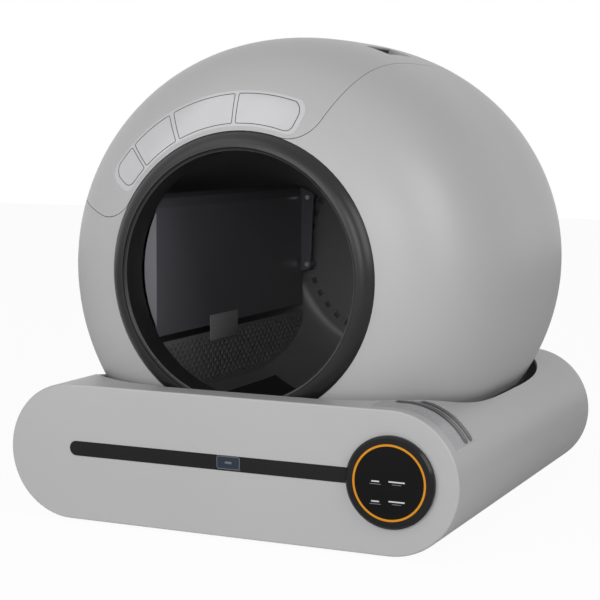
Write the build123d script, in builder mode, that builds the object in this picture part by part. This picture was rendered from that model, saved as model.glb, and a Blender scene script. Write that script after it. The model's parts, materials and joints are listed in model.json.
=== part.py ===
from build123d import *
import os
from math import acos, asin, cos, hypot, pi, radians, sin, sqrt

os.makedirs("parts", exist_ok=True)

# A self cleaning litter box: a capsule-shaped base, a fixed globe-shaped housing with a lift-up
# hatch, and a dark drum that turns inside the housing and sifts the litter.
# X points right, Y points to the back, Z up. The origin is on the floor, at the bottom centre
# of the whole body. All lengths are in millimetres, all angles in degrees.

# Fits and clearances
overrun = 5
seam = 0.8
slip = 0.3
running_fit = 0.05
seat_gap = 0.2

# Base, a lying stadium seen from the front
base_width = 600
base_height = 171
base_depth = 586.5
base_edge = 2
base_wall = 3
foot_height = 4
display_proud = 7

base_shift = display_proud / 2
base_front = base_shift - base_depth / 2
base_back = base_shift + base_depth / 2
base_bottom = foot_height
base_mid = base_bottom + base_height / 2
base_floor = base_bottom + base_wall

# Globe, a body turned about a lying axis, with a profile rounder than an ellipse. Its rear half
# is longer and closes more gently than its front half.
globe_radius = 297.7
globe_depth_share = 0.4663
globe_power = 3.65
globe_rear_share = 0.6237
globe_rear_power = 2.7
globe_wall = 3
globe_lift_share = 0.4686
belly_share = 0.0276
globe_steps = 7
room_gap = 11
room_depth_share = 0.4706
room_share = 0.0213

globe_half_depth = base_depth * globe_depth_share
globe_rear_depth = base_depth * globe_rear_share
globe_z = base_bottom + base_height + globe_radius * globe_lift_share
belly_y = base_shift + base_depth * belly_share

# Entry ring, its throat and the step that it sits in
ring_radius = 176
ring_bore = 153
ring_wall = 3
ring_proud = 12
throat_depth = 41.7
lip_step = 4
lip_wall = 3
lip_inset = 16
ring_nose = 4
ring_round_share = 0.71

# Hatch, a slice of the globe between two seams, angles measured clockwise from the top
hatch_left = -71
hatch_right = 28
hatch_corner = 42
hinge_radius = 3.2
hinge_pin_radius = 1.3
hinge_sweep = 1.7
hinge_length = 240
hinge_knuckles = 5

# Latch pocket in the hatch and the bolt that slides in it
latch_angle = 19.5
latch_ahead = 23.2
pocket_width = 34
pocket_length = 86
pocket_depth = 12
pocket_wall = 2
paddle_width = 20
paddle_thickness = 2.5
paddle_rise = 5
bolt_width = 24
bolt_drop = 7.2
bolt_thickness = 4
bolt_reach = 4.6

# Rear cover
cover_radius = 155
cover_dish = 1.6
cover_rim = 12
cover_lip = 9

# Drum
drum_bore = 218
drum_wall = 3
drum_mouth = 157
drum_disc = 150
drum_front_gap = 31.4
drum_rear_gap = 20.25
nose_depth = 84
tail_depth = 213
split_lap = 10
port_from = -42
port_to = 0
port_setback = 40

# Ring gear and its pinion
gear_module = 4
gear_teeth = 106
pinion_teeth = 13
gear_face = 12
gear_rim = 4
gear_setback = 68
gear_flange = 3
gear_flange_step = 3
pinion_overhang = 1
pressure_angle = 20
tooth_play = 0.3
mesh_angle = 45
flank_steps = 4

# Drive motor
motor_radius = 18
gearbox_radius = 18.5
gearbox_length = 22
motor_length = 38
shaft_radius = 3
bracket_plate = 3
bracket_gap = 2.7
bracket_boss = 6

# Cradle under the drum
trough_radius = 236
cradle_wall = 3
cradle_half = 175
shelf_drop = 25
cradle_end_gap = 6
cradle_margin = 4
shelf_setback = 7.7
chute_half = 80
chute_margin = 10

# Support rollers
roller_radius = 12
roller_width = 20
roller_angle = 38
roller_insets = (20, 25)
axle_radius = 3
ear_wall = 3
ear_gap = 1
roller_seat_drop = 28

# Drawer
tray_half = 168
tray_gap = 1.2
tray_wall = 2.5
tray_setback = 103.25
tray_corner = 14
fascia_half = 178
fascia_cover = 9.7
fascia_depth = 11
fascia_gap = 0.9
fascia_lift = 5
fascia_corner = 12
grip_radius = 46
grip_depth = 8
grip_lip = 8
rail_height = 3
rail_wall = 3
rail_width = 18
rail_rise = 12
frame_width = 9
frame_height = 4

# Front panel, the strip across it and the round display
panel_depth = 9
panel_wall = 4
panel_rim = 7
strip_inset = 86.6
strip_height = 18.3
strip_rise = 5
strip_depth = 2
strip_proud = 0.3
tile_x = 9
tile_width = 32
tile_height = 17
tile_corner = 3
tile_proud = 0.4
sensor_width = 24
sensor_height = 11
sensor_depth = 9
display_inset = 82.6
display_rise = 2.2
display_radius = 54.5
display_neck = 49.5
display_neck_depth = 16
display_chamfer = 2.6
light_outer = 45
light_width = 2.5
light_depth = 2
glass_thickness = 2
display_well = 7
board_thickness = 1.6
board_margin = 2

# Guide plate and sifting screen inside the drum
plate_x = -138
plate_wall = 2.5
plate_drop = 86.5
plate_rise = 95.5
plate_lip = 18
plate_lip_out = 9
plate_front_gap = 10
plate_rear_gap = 27
flange_width = 20
flange_drop = 36.5
flange_rise = 91.5
screw_rises = (76.5, -25.5)
screw_radius = 1.8
screw_head = 3.6
screw_head_height = 2
screw_length = 12
screw_boss = 5
screen_drop = 95.5
screen_rim = 8
screen_pitch_y = 20
screen_pitch_z = 14
screen_hole_y = 12.5
screen_hole_z = 4
screen_edge = 9

# Drum lining and hub cover
liner_wall = 2
liner_from = 104
liner_to = 214
liner_front_gap = 2
liner_reach = 52
liner_steps = 4
hub_radius = 142
hub_wall = 3
hub_rib_outer = 140
hub_rib_inner = 130
hub_rib_width = 3
hub_rib_proud = 1.6
hub_ribs = 40

# Feet, load cells, board, power inlet
foot_radius = 17
foot_chamfer = 1
foot_gap = 8
foot_inset = 57.25
cell_length = 62
cell_width = 13
cell_height = 13
cell_slot_radius = 4.5
circuit_length = 120
circuit_height = 60
circuit_rise = 17
circuit_setback = 143.25
standoff_length = 6
standoff_radius = 3.5
standoff_inset = 7
chip_height = 9
inlet_share = 0.475
inlet_rise = 58
inlet_radius = 6.5
inlet_depth = 16
inlet_bore = 3.2
inlet_pin = 1
inlet_socket_depth = 11


def spoke(angle):
    return Vector(sin(radians(angle)), 0, cos(radians(angle)))


def axis_point(radius, angle, y):
    ray = spoke(angle)
    return Vector(ray.X * radius, y, globe_z + ray.Z * radius)


# Half plane through the turning axis: its x runs to the back, its y outwards from the axis
def radial_plane(angle):
    ray = spoke(angle)
    return Plane(origin=(0, 0, globe_z), x_dir=(0, 1, 0), z_dir=(ray.Z, 0, -ray.X))


# Plane facing the front, its x to the right and its y up, at a station along Y
def front_plane(y, x=0, z=0):
    return Plane(origin=(x, y, z), x_dir=(1, 0, 0), z_dir=(0, -1, 0))


turn_axis = Axis((0, 0, globe_z), (0, 1, 0))


# Station of the globe profile where it has the given radius, measured from the belly
def globe_reach(radius):
    share = (radius / globe_radius) ** globe_power
    return globe_half_depth * (1 - share) ** (1 / globe_power)


ring_seat = ring_radius + seam / 2
globe_front = belly_y - globe_reach(ring_seat)
globe_back = base_back


# Points of a profile from its front to its back, spread evenly by the turn of the curve.
# Each half has a depth and a power of its own.
def profile_points(middle, radius, front_half, rear_half, front, rear):
    points = []
    for step in range(-globe_steps, globe_steps + 1):
        depth, power = front_half if step < 0 else rear_half
        reach_share = (middle - front if step < 0 else rear - middle) / depth
        turn = abs(step) / globe_steps * asin(min(1, reach_share ** (power / 2)))
        reach = depth * sin(turn) ** (2 / power)
        points.append((middle - reach if step < 0 else middle + reach, radius * cos(turn) ** (2 / power)))
    return points


def globe_curve(front, rear, grow=0, deepen=0):
    front_half = (globe_half_depth + grow + deepen, globe_power)
    rear_half = (globe_rear_depth + grow + deepen, globe_rear_power)
    return profile_points(belly_y, globe_radius + grow, front_half, rear_half, front, rear)


# The whole housing wall turned once round, with the steps for the ring and the rear cover
cover_seat = cover_radius + seam / 2
lip_front = globe_front + lip_step
lip_rear = globe_back - lip_step
inner_points = globe_curve(lip_front + lip_wall, globe_back - globe_wall, -globe_wall)
outer_points = globe_curve(globe_front, globe_back)
with BuildPart() as globe_wall_ring:
    with BuildSketch(radial_plane(0)):
        with BuildLine():
            Spline(*outer_points)
            Polyline(
                outer_points[-1],
                (globe_back, cover_seat),
                (lip_rear, cover_seat),
                (lip_rear, cover_seat - cover_lip),
                (lip_rear - lip_wall, cover_seat - cover_lip),
                (lip_rear - lip_wall, cover_seat + lip_wall),
                (globe_back - globe_wall, cover_seat + lip_wall),
                inner_points[-1],
            )
            Spline(*inner_points)
            Polyline(
                inner_points[0],
                (lip_front + lip_wall, ring_seat - lip_inset),
                (lip_front, ring_seat - lip_inset),
                (lip_front, ring_seat),
                (globe_front, ring_seat),
            )
        make_face()
    revolve(axis=turn_axis)


# Slice between the two seams of the hatch, seen from the front, with rounded inner corners
def hatch_slice(shrink):
    reach = globe_radius + overrun
    seam_left = spoke(hatch_left)
    seam_right = spoke(hatch_right)
    bend = hatch_corner - shrink
    inner = ring_seat + shrink
    middle = spoke((hatch_left + hatch_right) / 2)
    side = (Vector(seam_left.Z, 0, -seam_left.X), Vector(-seam_right.Z, 0, seam_right.X))
    shift = (shrink * side[0], shrink * side[1])
    with BuildPart() as slice_block:
        with BuildSketch(front_plane(globe_back + overrun, 0, globe_z)) as face:
            with BuildLine():
                start = (seam_left.X * inner + shift[0].X, seam_left.Z * inner + shift[0].Z)
                end = (seam_right.X * inner + shift[1].X, seam_right.Z * inner + shift[1].Z)
                far_left = (seam_left.X * reach + shift[0].X, seam_left.Z * reach + shift[0].Z)
                far_right = (seam_right.X * reach + shift[1].X, seam_right.Z * reach + shift[1].Z)
                ThreePointArc(start, (middle.X * inner, middle.Z * inner), end)
                Line(end, far_right)
                ThreePointArc(far_right, (middle.X * reach, middle.Z * reach), far_left)
                Line(far_left, start)
            make_face()
            inner_corners = face.vertices().filter_by(lambda v: abs(v.center().length - inner) < seam)
            fillet(inner_corners, bend)
        extrude(amount=globe_back - globe_front + 2 * overrun)
    return slice_block.part


# Hinge line of the hatch, just under the skin at the left seam
hinge_centre = axis_point(globe_radius - hinge_radius, hatch_left, belly_y)
knuckle_length = hinge_length / hinge_knuckles


def hinge_rod(radius, start, length):
    with BuildPart() as rod:
        with BuildSketch(front_plane(belly_y + start + length, hinge_centre.X, hinge_centre.Z)):
            Circle(radius)
        extrude(amount=length)
    return rod.part


# Room round a knuckle of the other half, wide enough for the skin to swing past
def hinge_room(start):
    return hinge_rod(hinge_radius + hinge_sweep, start - seam, knuckle_length + 2 * seam)


def knuckle_starts(first):
    starts = []
    for index in range(first, hinge_knuckles, 2):
        starts.append(index * knuckle_length - hinge_length / 2)
    return starts


# Housing shell: the globe wall with the hatch slice out, cut level where it stands on the cradle
shelf_top = base_bottom + base_height - shelf_drop
with BuildPart() as housing_shell:
    add(globe_wall_ring.part)
    add(hatch_slice(-seam / 2), mode=Mode.SUBTRACT)
    with BuildSketch(Plane.XY.offset(shelf_top)):
        Rectangle(2 * base_width, 2 * base_depth)
    extrude(amount=-base_width, mode=Mode.SUBTRACT)
    for start in knuckle_starts(1):
        add(hinge_room(start), mode=Mode.SUBTRACT)
    for start in knuckle_starts(0):
        add(hinge_rod(hinge_radius, start, knuckle_length))
    add(hinge_rod(hinge_pin_radius, -hinge_length, 2 * hinge_length), mode=Mode.SUBTRACT)
housing_shell.part.label = "housing_shell"
export_step(housing_shell.part, "parts/housing_shell.step")


# Plane at the latch: x round the globe towards the right seam, y to the back, z outwards
def latch_plane(rise):
    ray = spoke(latch_angle)
    centre = axis_point(globe_radius + rise, latch_angle, belly_y - latch_ahead)
    return Plane(origin=centre, x_dir=(ray.Z, 0, -ray.X), z_dir=ray)


# Room for the latch: the pocket for its paddle and the slot for its bolt
pocket_top = -globe_wall / 2
bolt_top = -bolt_drop
bolt_bottom = bolt_top - bolt_thickness
with BuildPart() as latch_room:
    with BuildSketch(latch_plane(overrun)):
        RectangleRounded(pocket_width, pocket_length, pocket_wall)
    extrude(amount=-(pocket_depth + overrun))
    with BuildSketch(latch_plane(bolt_top + slip)):
        with Locations((pocket_width, 0)):
            Rectangle(2 * pocket_width, bolt_width + 2 * slip)
    extrude(amount=-(bolt_thickness + 2 * slip))

# Hatch panel with its hinge knuckles and the latch pocket
with BuildPart() as hatch_panel:
    add(globe_wall_ring.part)
    add(hatch_slice(seam / 2), mode=Mode.INTERSECT)
    for start in knuckle_starts(0):
        add(hinge_room(start), mode=Mode.SUBTRACT)
    for start in knuckle_starts(1):
        add(hinge_rod(hinge_radius, start, knuckle_length))
    add(hinge_rod(hinge_pin_radius + running_fit, -hinge_length, 2 * hinge_length), mode=Mode.SUBTRACT)
    with BuildSketch(latch_plane(pocket_top)):
        RectangleRounded(pocket_width + 2 * pocket_wall, pocket_length + 2 * pocket_wall, pocket_wall * 2)
    extrude(amount=-(pocket_depth + pocket_wall + pocket_top))
    add(latch_room.part, mode=Mode.SUBTRACT)
hatch_panel.part.label = "hatch_panel"
export_step(hatch_panel.part, "parts/hatch_panel.step")

# Hinge pin through all the knuckles
with BuildPart() as hinge_pin:
    add(hinge_rod(hinge_pin_radius, -hinge_length / 2, hinge_length))
hinge_pin.part.label = "hinge_pin"
export_step(hinge_pin.part, "parts/hinge_pin.step")

# Latch: a sloping finger paddle in the pocket and a bevelled bolt that reaches under the seam
seam_run = globe_radius * sin(radians(hatch_right - latch_angle))
bolt_end = seam_run + bolt_reach
paddle_half = pocket_length / 2 - pocket_wall
paddle_low = -pocket_depth + slip
paddle_right = pocket_width / 2 - slip
with BuildPart() as hatch_latch:
    with BuildSketch(latch_plane(0) * Plane.XZ.offset(bolt_width / 2)):
        with BuildLine():
            Polyline(
                (paddle_right - pocket_wall, bolt_bottom),
                (bolt_end, bolt_bottom),
                (bolt_end, bolt_bottom + pocket_wall / 2),
                (seam_run - seam, bolt_top),
                (paddle_right - pocket_wall, bolt_top),
                close=True,
            )
        make_face()
    extrude(amount=-bolt_width)
    with BuildSketch(latch_plane(0) * Plane.YZ.offset(paddle_right - paddle_width)):
        with BuildLine():
            Polyline(
                (-paddle_half, paddle_low),
                (paddle_half, paddle_low + paddle_rise),
                (paddle_half, paddle_low + paddle_rise + paddle_thickness),
                (-paddle_half, paddle_low + paddle_thickness),
                close=True,
            )
        make_face()
    extrude(amount=paddle_width)
hatch_latch.part.label = "hatch_latch"
export_step(hatch_latch.part, "parts/hatch_latch.step")

# Entry ring: a convex black band with a throat that leads into the drum
ring_back = lip_front
ring_tip = globe_front - ring_proud
throat_back = globe_front + throat_depth - ring_proud
with BuildPart() as entry_ring:
    with BuildSketch(radial_plane(0)):
        with BuildLine():
            band = ThreePointArc(
                (globe_front, ring_radius),
                (ring_tip + ring_proud * (1 - ring_round_share), ring_radius - ring_nose * 2),
                (ring_tip, ring_bore + ring_nose),
            )
            nose = RadiusArc(band @ 1, (ring_tip + ring_nose, ring_bore), ring_nose)
            Polyline(
                nose @ 1,
                (throat_back, ring_bore),
                (throat_back, ring_bore + ring_wall),
                (ring_back, ring_bore + ring_wall),
                (ring_back, ring_radius),
                (globe_front, ring_radius),
            )
        make_face()
    revolve(axis=turn_axis)
entry_ring.part.label = "entry_ring"
export_step(entry_ring.part, "parts/entry_ring.step")

# Soft gasket on the end of the throat, with a lip that just clears the drum
drum_front = globe_front + drum_front_gap
gasket_sleeve = ring_bore + ring_wall + seat_gap
with BuildPart() as entry_gasket:
    with BuildSketch(radial_plane(0)):
        with BuildLine():
            Polyline(
                (throat_back - 3 * ring_wall, gasket_sleeve),
                (throat_back, gasket_sleeve),
                (drum_front - slip, gasket_sleeve),
                (drum_front - slip, gasket_sleeve + 3 * ring_wall),
                (drum_front - slip - ring_wall / 2, gasket_sleeve + 3 * ring_wall),
                (throat_back - ring_wall / 2, gasket_sleeve + ring_wall),
                (throat_back - 3 * ring_wall, gasket_sleeve + ring_wall),
                close=True,
            )
        make_face()
    revolve(axis=turn_axis)
entry_gasket.part.label = "entry_gasket"
export_step(entry_gasket.part, "parts/entry_gasket.step")

# Round rear cover, slightly dished
with BuildPart() as rear_cover:
    with BuildSketch(front_plane(globe_back, 0, globe_z)):
        Circle(cover_radius)
    extrude(amount=lip_step)
    with BuildSketch(front_plane(globe_back, 0, globe_z)):
        Circle(cover_radius - cover_rim)
    extrude(amount=cover_dish, mode=Mode.SUBTRACT)
    chamfer(rear_cover.edges().filter_by(GeomType.CIRCLE).group_by(Axis.Y)[-1], cover_dish / 2)
rear_cover.part.label = "rear_cover"
export_step(rear_cover.part, "parts/rear_cover.step")

# Heights of the guide plate and the sifting screen about the turning axis
plate_bottom = globe_z - plate_drop
plate_top = globe_z + plate_rise
flange_bottom = globe_z - flange_drop
flange_top = globe_z + flange_rise
flange_screws = [globe_z + rise for rise in screw_rises]
screen_top = globe_z - screen_drop

# Drum profile stations
drum_nose = drum_front + nose_depth
drum_rear = globe_back - drum_rear_gap
drum_tail = drum_rear - tail_depth
drum_split = drum_nose + split_lap
drum_outer = drum_bore + drum_wall
port_front = drum_split + port_setback
plate_front = drum_front + plate_front_gap
plate_rear = drum_rear - plate_rear_gap


# Solid of the drum's inside, kept clear of its wall by a gap
def drum_inside(gap):
    with BuildPart() as core:
        with BuildSketch(radial_plane(0)):
            with BuildLine():
                shrink = drum_wall + gap
                EllipticalCenterArc(
                    (drum_nose, drum_mouth),
                    nose_depth - shrink,
                    drum_bore - gap - drum_mouth,
                    start_angle=90,
                    arc_size=90,
                )
                EllipticalCenterArc(
                    (drum_tail, drum_disc),
                    tail_depth - shrink,
                    drum_bore - gap - drum_disc,
                    start_angle=0,
                    arc_size=90,
                )
                Line((drum_nose, drum_bore - gap), (drum_tail, drum_bore - gap))
                Polyline(
                    (drum_front + shrink, drum_mouth),
                    (drum_front + shrink, 0),
                    (drum_rear - shrink, 0),
                    (drum_rear - shrink, drum_disc),
                )
            make_face()
        revolve(axis=turn_axis)
    return core.part


# Radius of the drum's inner wall at a station, with its rounded nose and tail
def drum_wall_radius(y):
    nose_share = min(1, max(0, drum_nose - y) / (nose_depth - drum_wall))
    tail_share = min(1, max(0, y - drum_tail) / (tail_depth - drum_wall))
    nose_radius = drum_mouth + (drum_bore - drum_mouth) * sqrt(1 - nose_share**2)
    tail_radius = drum_disc + (drum_bore - drum_disc) * sqrt(1 - tail_share**2)
    return min(nose_radius, tail_radius)


# Front shell of the drum, a rounded ring round the mouth
with BuildPart() as drum_front_shell:
    with BuildSketch(radial_plane(0)):
        with BuildLine():
            EllipticalCenterArc(
                (drum_nose, drum_mouth), nose_depth, drum_outer - drum_mouth, start_angle=90, arc_size=90
            )
            EllipticalCenterArc(
                (drum_nose, drum_mouth),
                nose_depth - drum_wall,
                drum_bore - drum_mouth,
                start_angle=90,
                arc_size=90,
            )
            Line((drum_front, drum_mouth), (drum_front + drum_wall, drum_mouth))
            Polyline(
                (drum_nose, drum_outer),
                (drum_split, drum_outer),
                (drum_split, drum_bore),
                (drum_nose, drum_bore),
            )
        make_face()
    revolve(axis=turn_axis)
drum_front_shell.part.label = "drum_front_shell"
export_step(drum_front_shell.part, "parts/drum_front_shell.step")

# Ring gear sizes, which the rear shell of the drum is stepped for
gear_pitch = gear_module * gear_teeth / 2
pinion_pitch = gear_module * pinion_teeth / 2
gear_addendum = gear_module
gear_dedendum = gear_module * 5 / 4
gear_bore = gear_pitch - gear_dedendum - gear_rim
gear_front = drum_rear - gear_setback
gear_rear = gear_front + gear_face
land_radius = gear_bore - seat_gap

# Rear shell of the drum: barrel, rounded tail, back wall, gear seat and the waste port
with BuildPart() as drum_rear_shell:
    with BuildSketch(radial_plane(0)):
        with BuildLine():
            EllipticalCenterArc(
                (drum_tail, drum_disc), tail_depth, drum_outer - drum_disc, start_angle=0, arc_size=90
            )
            Polyline(
                (drum_tail, drum_outer),
                (drum_split, drum_outer),
                (drum_split, drum_bore),
                (drum_tail, drum_bore),
            )
            EllipticalCenterArc(
                (drum_tail, drum_disc),
                tail_depth - drum_wall,
                drum_bore - drum_disc,
                start_angle=0,
                arc_size=90,
            )
            Polyline(
                (drum_rear - drum_wall, drum_disc),
                (drum_rear - drum_wall, 0),
                (drum_rear, 0),
                (drum_rear, drum_disc),
            )
        make_face()
    revolve(axis=turn_axis)
    with BuildSketch(radial_plane(0)):
        with BuildLine():
            seat_inner = drum_wall_radius(gear_rear) + drum_wall / 2
            seat_front = drum_wall_radius(gear_front - gear_flange) + drum_wall / 2
            Polyline(
                (gear_front - gear_flange, seat_front),
                (gear_front - gear_flange, land_radius + gear_flange_step),
                (gear_front, land_radius + gear_flange_step),
                (gear_front, land_radius),
                (gear_rear, land_radius),
                (gear_rear, seat_inner),
                close=True,
            )
        make_face()
    revolve(axis=turn_axis)
    # Waste port in the barrel wall
    with BuildSketch(radial_plane(port_from)):
        with Locations(((port_front + drum_tail) / 2, drum_outer)):
            Rectangle(drum_tail - port_front, 4 * drum_wall)
    revolve(axis=turn_axis, revolution_arc=port_to - port_from, mode=Mode.SUBTRACT)
    # Bosses that carry the flange of the guide plate
    for height in flange_screws:
        with BuildSketch(front_plane(plate_rear + seat_gap, plate_x + flange_width / 2, height)):
            Circle(screw_boss)
        extrude(amount=-(plate_rear_gap - drum_wall / 2))
    for height in flange_screws:
        with BuildSketch(front_plane(plate_rear, plate_x + flange_width / 2, height)):
            Circle(screw_radius + running_fit)
        extrude(amount=-(screw_length - plate_wall + slip), mode=Mode.SUBTRACT)
drum_rear_shell.part.label = "drum_rear_shell"
export_step(drum_rear_shell.part, "parts/drum_rear_shell.step")


# Outline of a gear with involute flanks, as points about its centre, a tooth pointing along turn
def gear_outline(teeth, steps, turn):
    pitch = gear_module * teeth / 2
    base = pitch * cos(radians(pressure_angle))
    tip = pitch + gear_addendum
    root = pitch - gear_dedendum
    low = max(base, root)
    pitch_roll = sqrt((pitch / base) ** 2 - 1)
    half = pi / 2 / teeth - tooth_play / 2 / pitch + pitch_roll - acos(base / pitch)
    flank = []
    for step in range(steps):
        radius = low + (tip - low) * step / (steps - 1)
        roll = sqrt(max(0, (radius / base) ** 2 - 1))
        flank.append((radius, half - (roll - acos(base / radius))))
    if low > root:
        flank.insert(0, (root, flank[0][1]))
    points = []
    for tooth in range(teeth):
        centre = radians(turn) + 2 * pi * tooth / teeth
        for radius, angle in flank:
            points.append((radius * cos(centre - angle), radius * sin(centre - angle)))
        for radius, angle in reversed(flank):
            points.append((radius * cos(centre + angle), radius * sin(centre + angle)))
    return points


# Ring gear on the tail of the drum, a gap between two teeth facing the pinion
mesh_turn = mesh_angle - 90
with BuildPart() as ring_gear:
    with BuildSketch(front_plane(gear_rear, 0, globe_z)):
        with BuildLine():
            Polyline(*gear_outline(gear_teeth, 2, mesh_turn + 180 / gear_teeth), close=True)
        make_face()
        Circle(gear_bore, mode=Mode.SUBTRACT)
    extrude(amount=gear_face)
ring_gear.part.label = "ring_gear"
export_step(ring_gear.part, "parts/ring_gear.step")

# Drive pinion, a tooth facing the ring gear
mesh_reach = gear_pitch + pinion_pitch
pinion_centre = axis_point(mesh_reach, 180 - mesh_angle, gear_rear + pinion_overhang)
pinion_face = gear_face + 2 * pinion_overhang
with BuildPart() as drive_pinion:
    with BuildSketch(front_plane(pinion_centre.Y, pinion_centre.X, pinion_centre.Z)):
        with BuildLine():
            Polyline(*gear_outline(pinion_teeth, flank_steps, mesh_turn + 180), close=True)
        make_face()
        Circle(shaft_radius + running_fit, mode=Mode.SUBTRACT)
    extrude(amount=pinion_face)
drive_pinion.part.label = "drive_pinion"
export_step(drive_pinion.part, "parts/drive_pinion.step")

# Gearbox face, behind the bracket that holds it
pinion_front = pinion_centre.Y - pinion_face
bracket_back = pinion_front - bracket_gap
bracket_front = bracket_back - bracket_plate
with BuildPart() as drive_shaft:
    with BuildSketch(front_plane(pinion_centre.Y, pinion_centre.X, pinion_centre.Z)):
        Circle(shaft_radius)
    extrude(amount=pinion_centre.Y - bracket_front + gearbox_length / 2)
drive_shaft.part.label = "drive_shaft"
export_step(drive_shaft.part, "parts/drive_shaft.step")

with BuildPart() as gear_motor:
    with BuildSketch(front_plane(bracket_front, pinion_centre.X, pinion_centre.Z)):
        Circle(gearbox_radius)
    extrude(amount=gearbox_length)
    with BuildSketch(front_plane(bracket_front - gearbox_length, pinion_centre.X, pinion_centre.Z)):
        Circle(motor_radius)
    extrude(amount=motor_length)
    chamfer(gear_motor.faces().sort_by(Axis.Y)[0].edges(), motor_radius / 9)
    with BuildSketch(front_plane(bracket_front, pinion_centre.X, pinion_centre.Z)):
        Circle(shaft_radius + running_fit)
    extrude(amount=gearbox_length / 2 + slip, mode=Mode.SUBTRACT)
gear_motor.part.label = "gear_motor"
export_step(gear_motor.part, "parts/gear_motor.step")

# Upright bracket beside the cradle, with an arm that reaches through its window to the motor
cradle_side = cradle_half + cradle_wall
arm_half = gearbox_radius + bracket_boss - slip
post_left = cradle_side + bracket_plate
post_right = pinion_centre.X + arm_half + bracket_boss
arm_bottom = pinion_centre.Z - arm_half
arm_top = pinion_centre.Z + arm_half
with BuildPart() as motor_bracket:
    with BuildSketch(front_plane(bracket_back)):
        with BuildLine():
            Polyline(
                (post_left, base_floor),
                (post_right, base_floor),
                (post_right, arm_top),
                (pinion_centre.X - arm_half, arm_top),
                (pinion_centre.X - arm_half, arm_bottom),
                (post_left, arm_bottom),
                close=True,
            )
        make_face()
        with Locations((pinion_centre.X, pinion_centre.Z)):
            Circle(bracket_boss, mode=Mode.SUBTRACT)
        with Locations((0, globe_z)):
            Circle(drum_wall_radius(bracket_front) + drum_wall + bracket_gap, mode=Mode.SUBTRACT)
    extrude(amount=bracket_plate)
    with BuildSketch(Plane.XY.offset(base_floor)):
        with Locations(((post_left + post_right) / 2, bracket_front - gearbox_length / 2)):
            Rectangle(post_right - post_left, gearbox_length)
    extrude(amount=bracket_plate)
motor_bracket.part.label = "motor_bracket"
export_step(motor_bracket.part, "parts/motor_bracket.step")


# Solid globe grown by a gap, used to open the base and to outline the shelf of the cradle
def globe_body(grow, deepen):
    front = globe_front - deepen
    rear = globe_back + grow
    edge = globe_curve(front, rear, grow, deepen + 2 * grow)
    with BuildPart() as body:
        with BuildSketch(radial_plane(0)):
            with BuildLine():
                Spline(*edge)
                Polyline(edge[-1], (edge[-1][0], 0), (edge[0][0], 0), edge[0])
            make_face()
        revolve(axis=turn_axis)
    return body.part


# Stations of the cradle and the place of the rollers
cradle_front = drum_front - cradle_end_gap
cradle_rear = drum_rear + cradle_end_gap
cradle_length = cradle_rear - cradle_front
trough_outer = trough_radius + cradle_wall
shelf_rear = base_back - base_wall - slip
roller_reach = drum_outer + slip + roller_radius
ear_length = roller_width + 2 * ear_gap + 2 * ear_wall
window_margin = cradle_margin + slip
window_size = 2 * (pinion_pitch + gear_addendum + window_margin)
window_length = pinion_face + bracket_gap + bracket_plate + gearbox_length + motor_length + 3 * window_margin

circuit_low = base_floor + circuit_rise
standoff_pitch = circuit_length - 2 * standoff_inset
standoff_rise = circuit_height - 2 * standoff_inset
circuit_front = base_front + circuit_setback
roller_stations = (drum_split + roller_insets[0], drum_tail - roller_insets[1])

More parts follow.
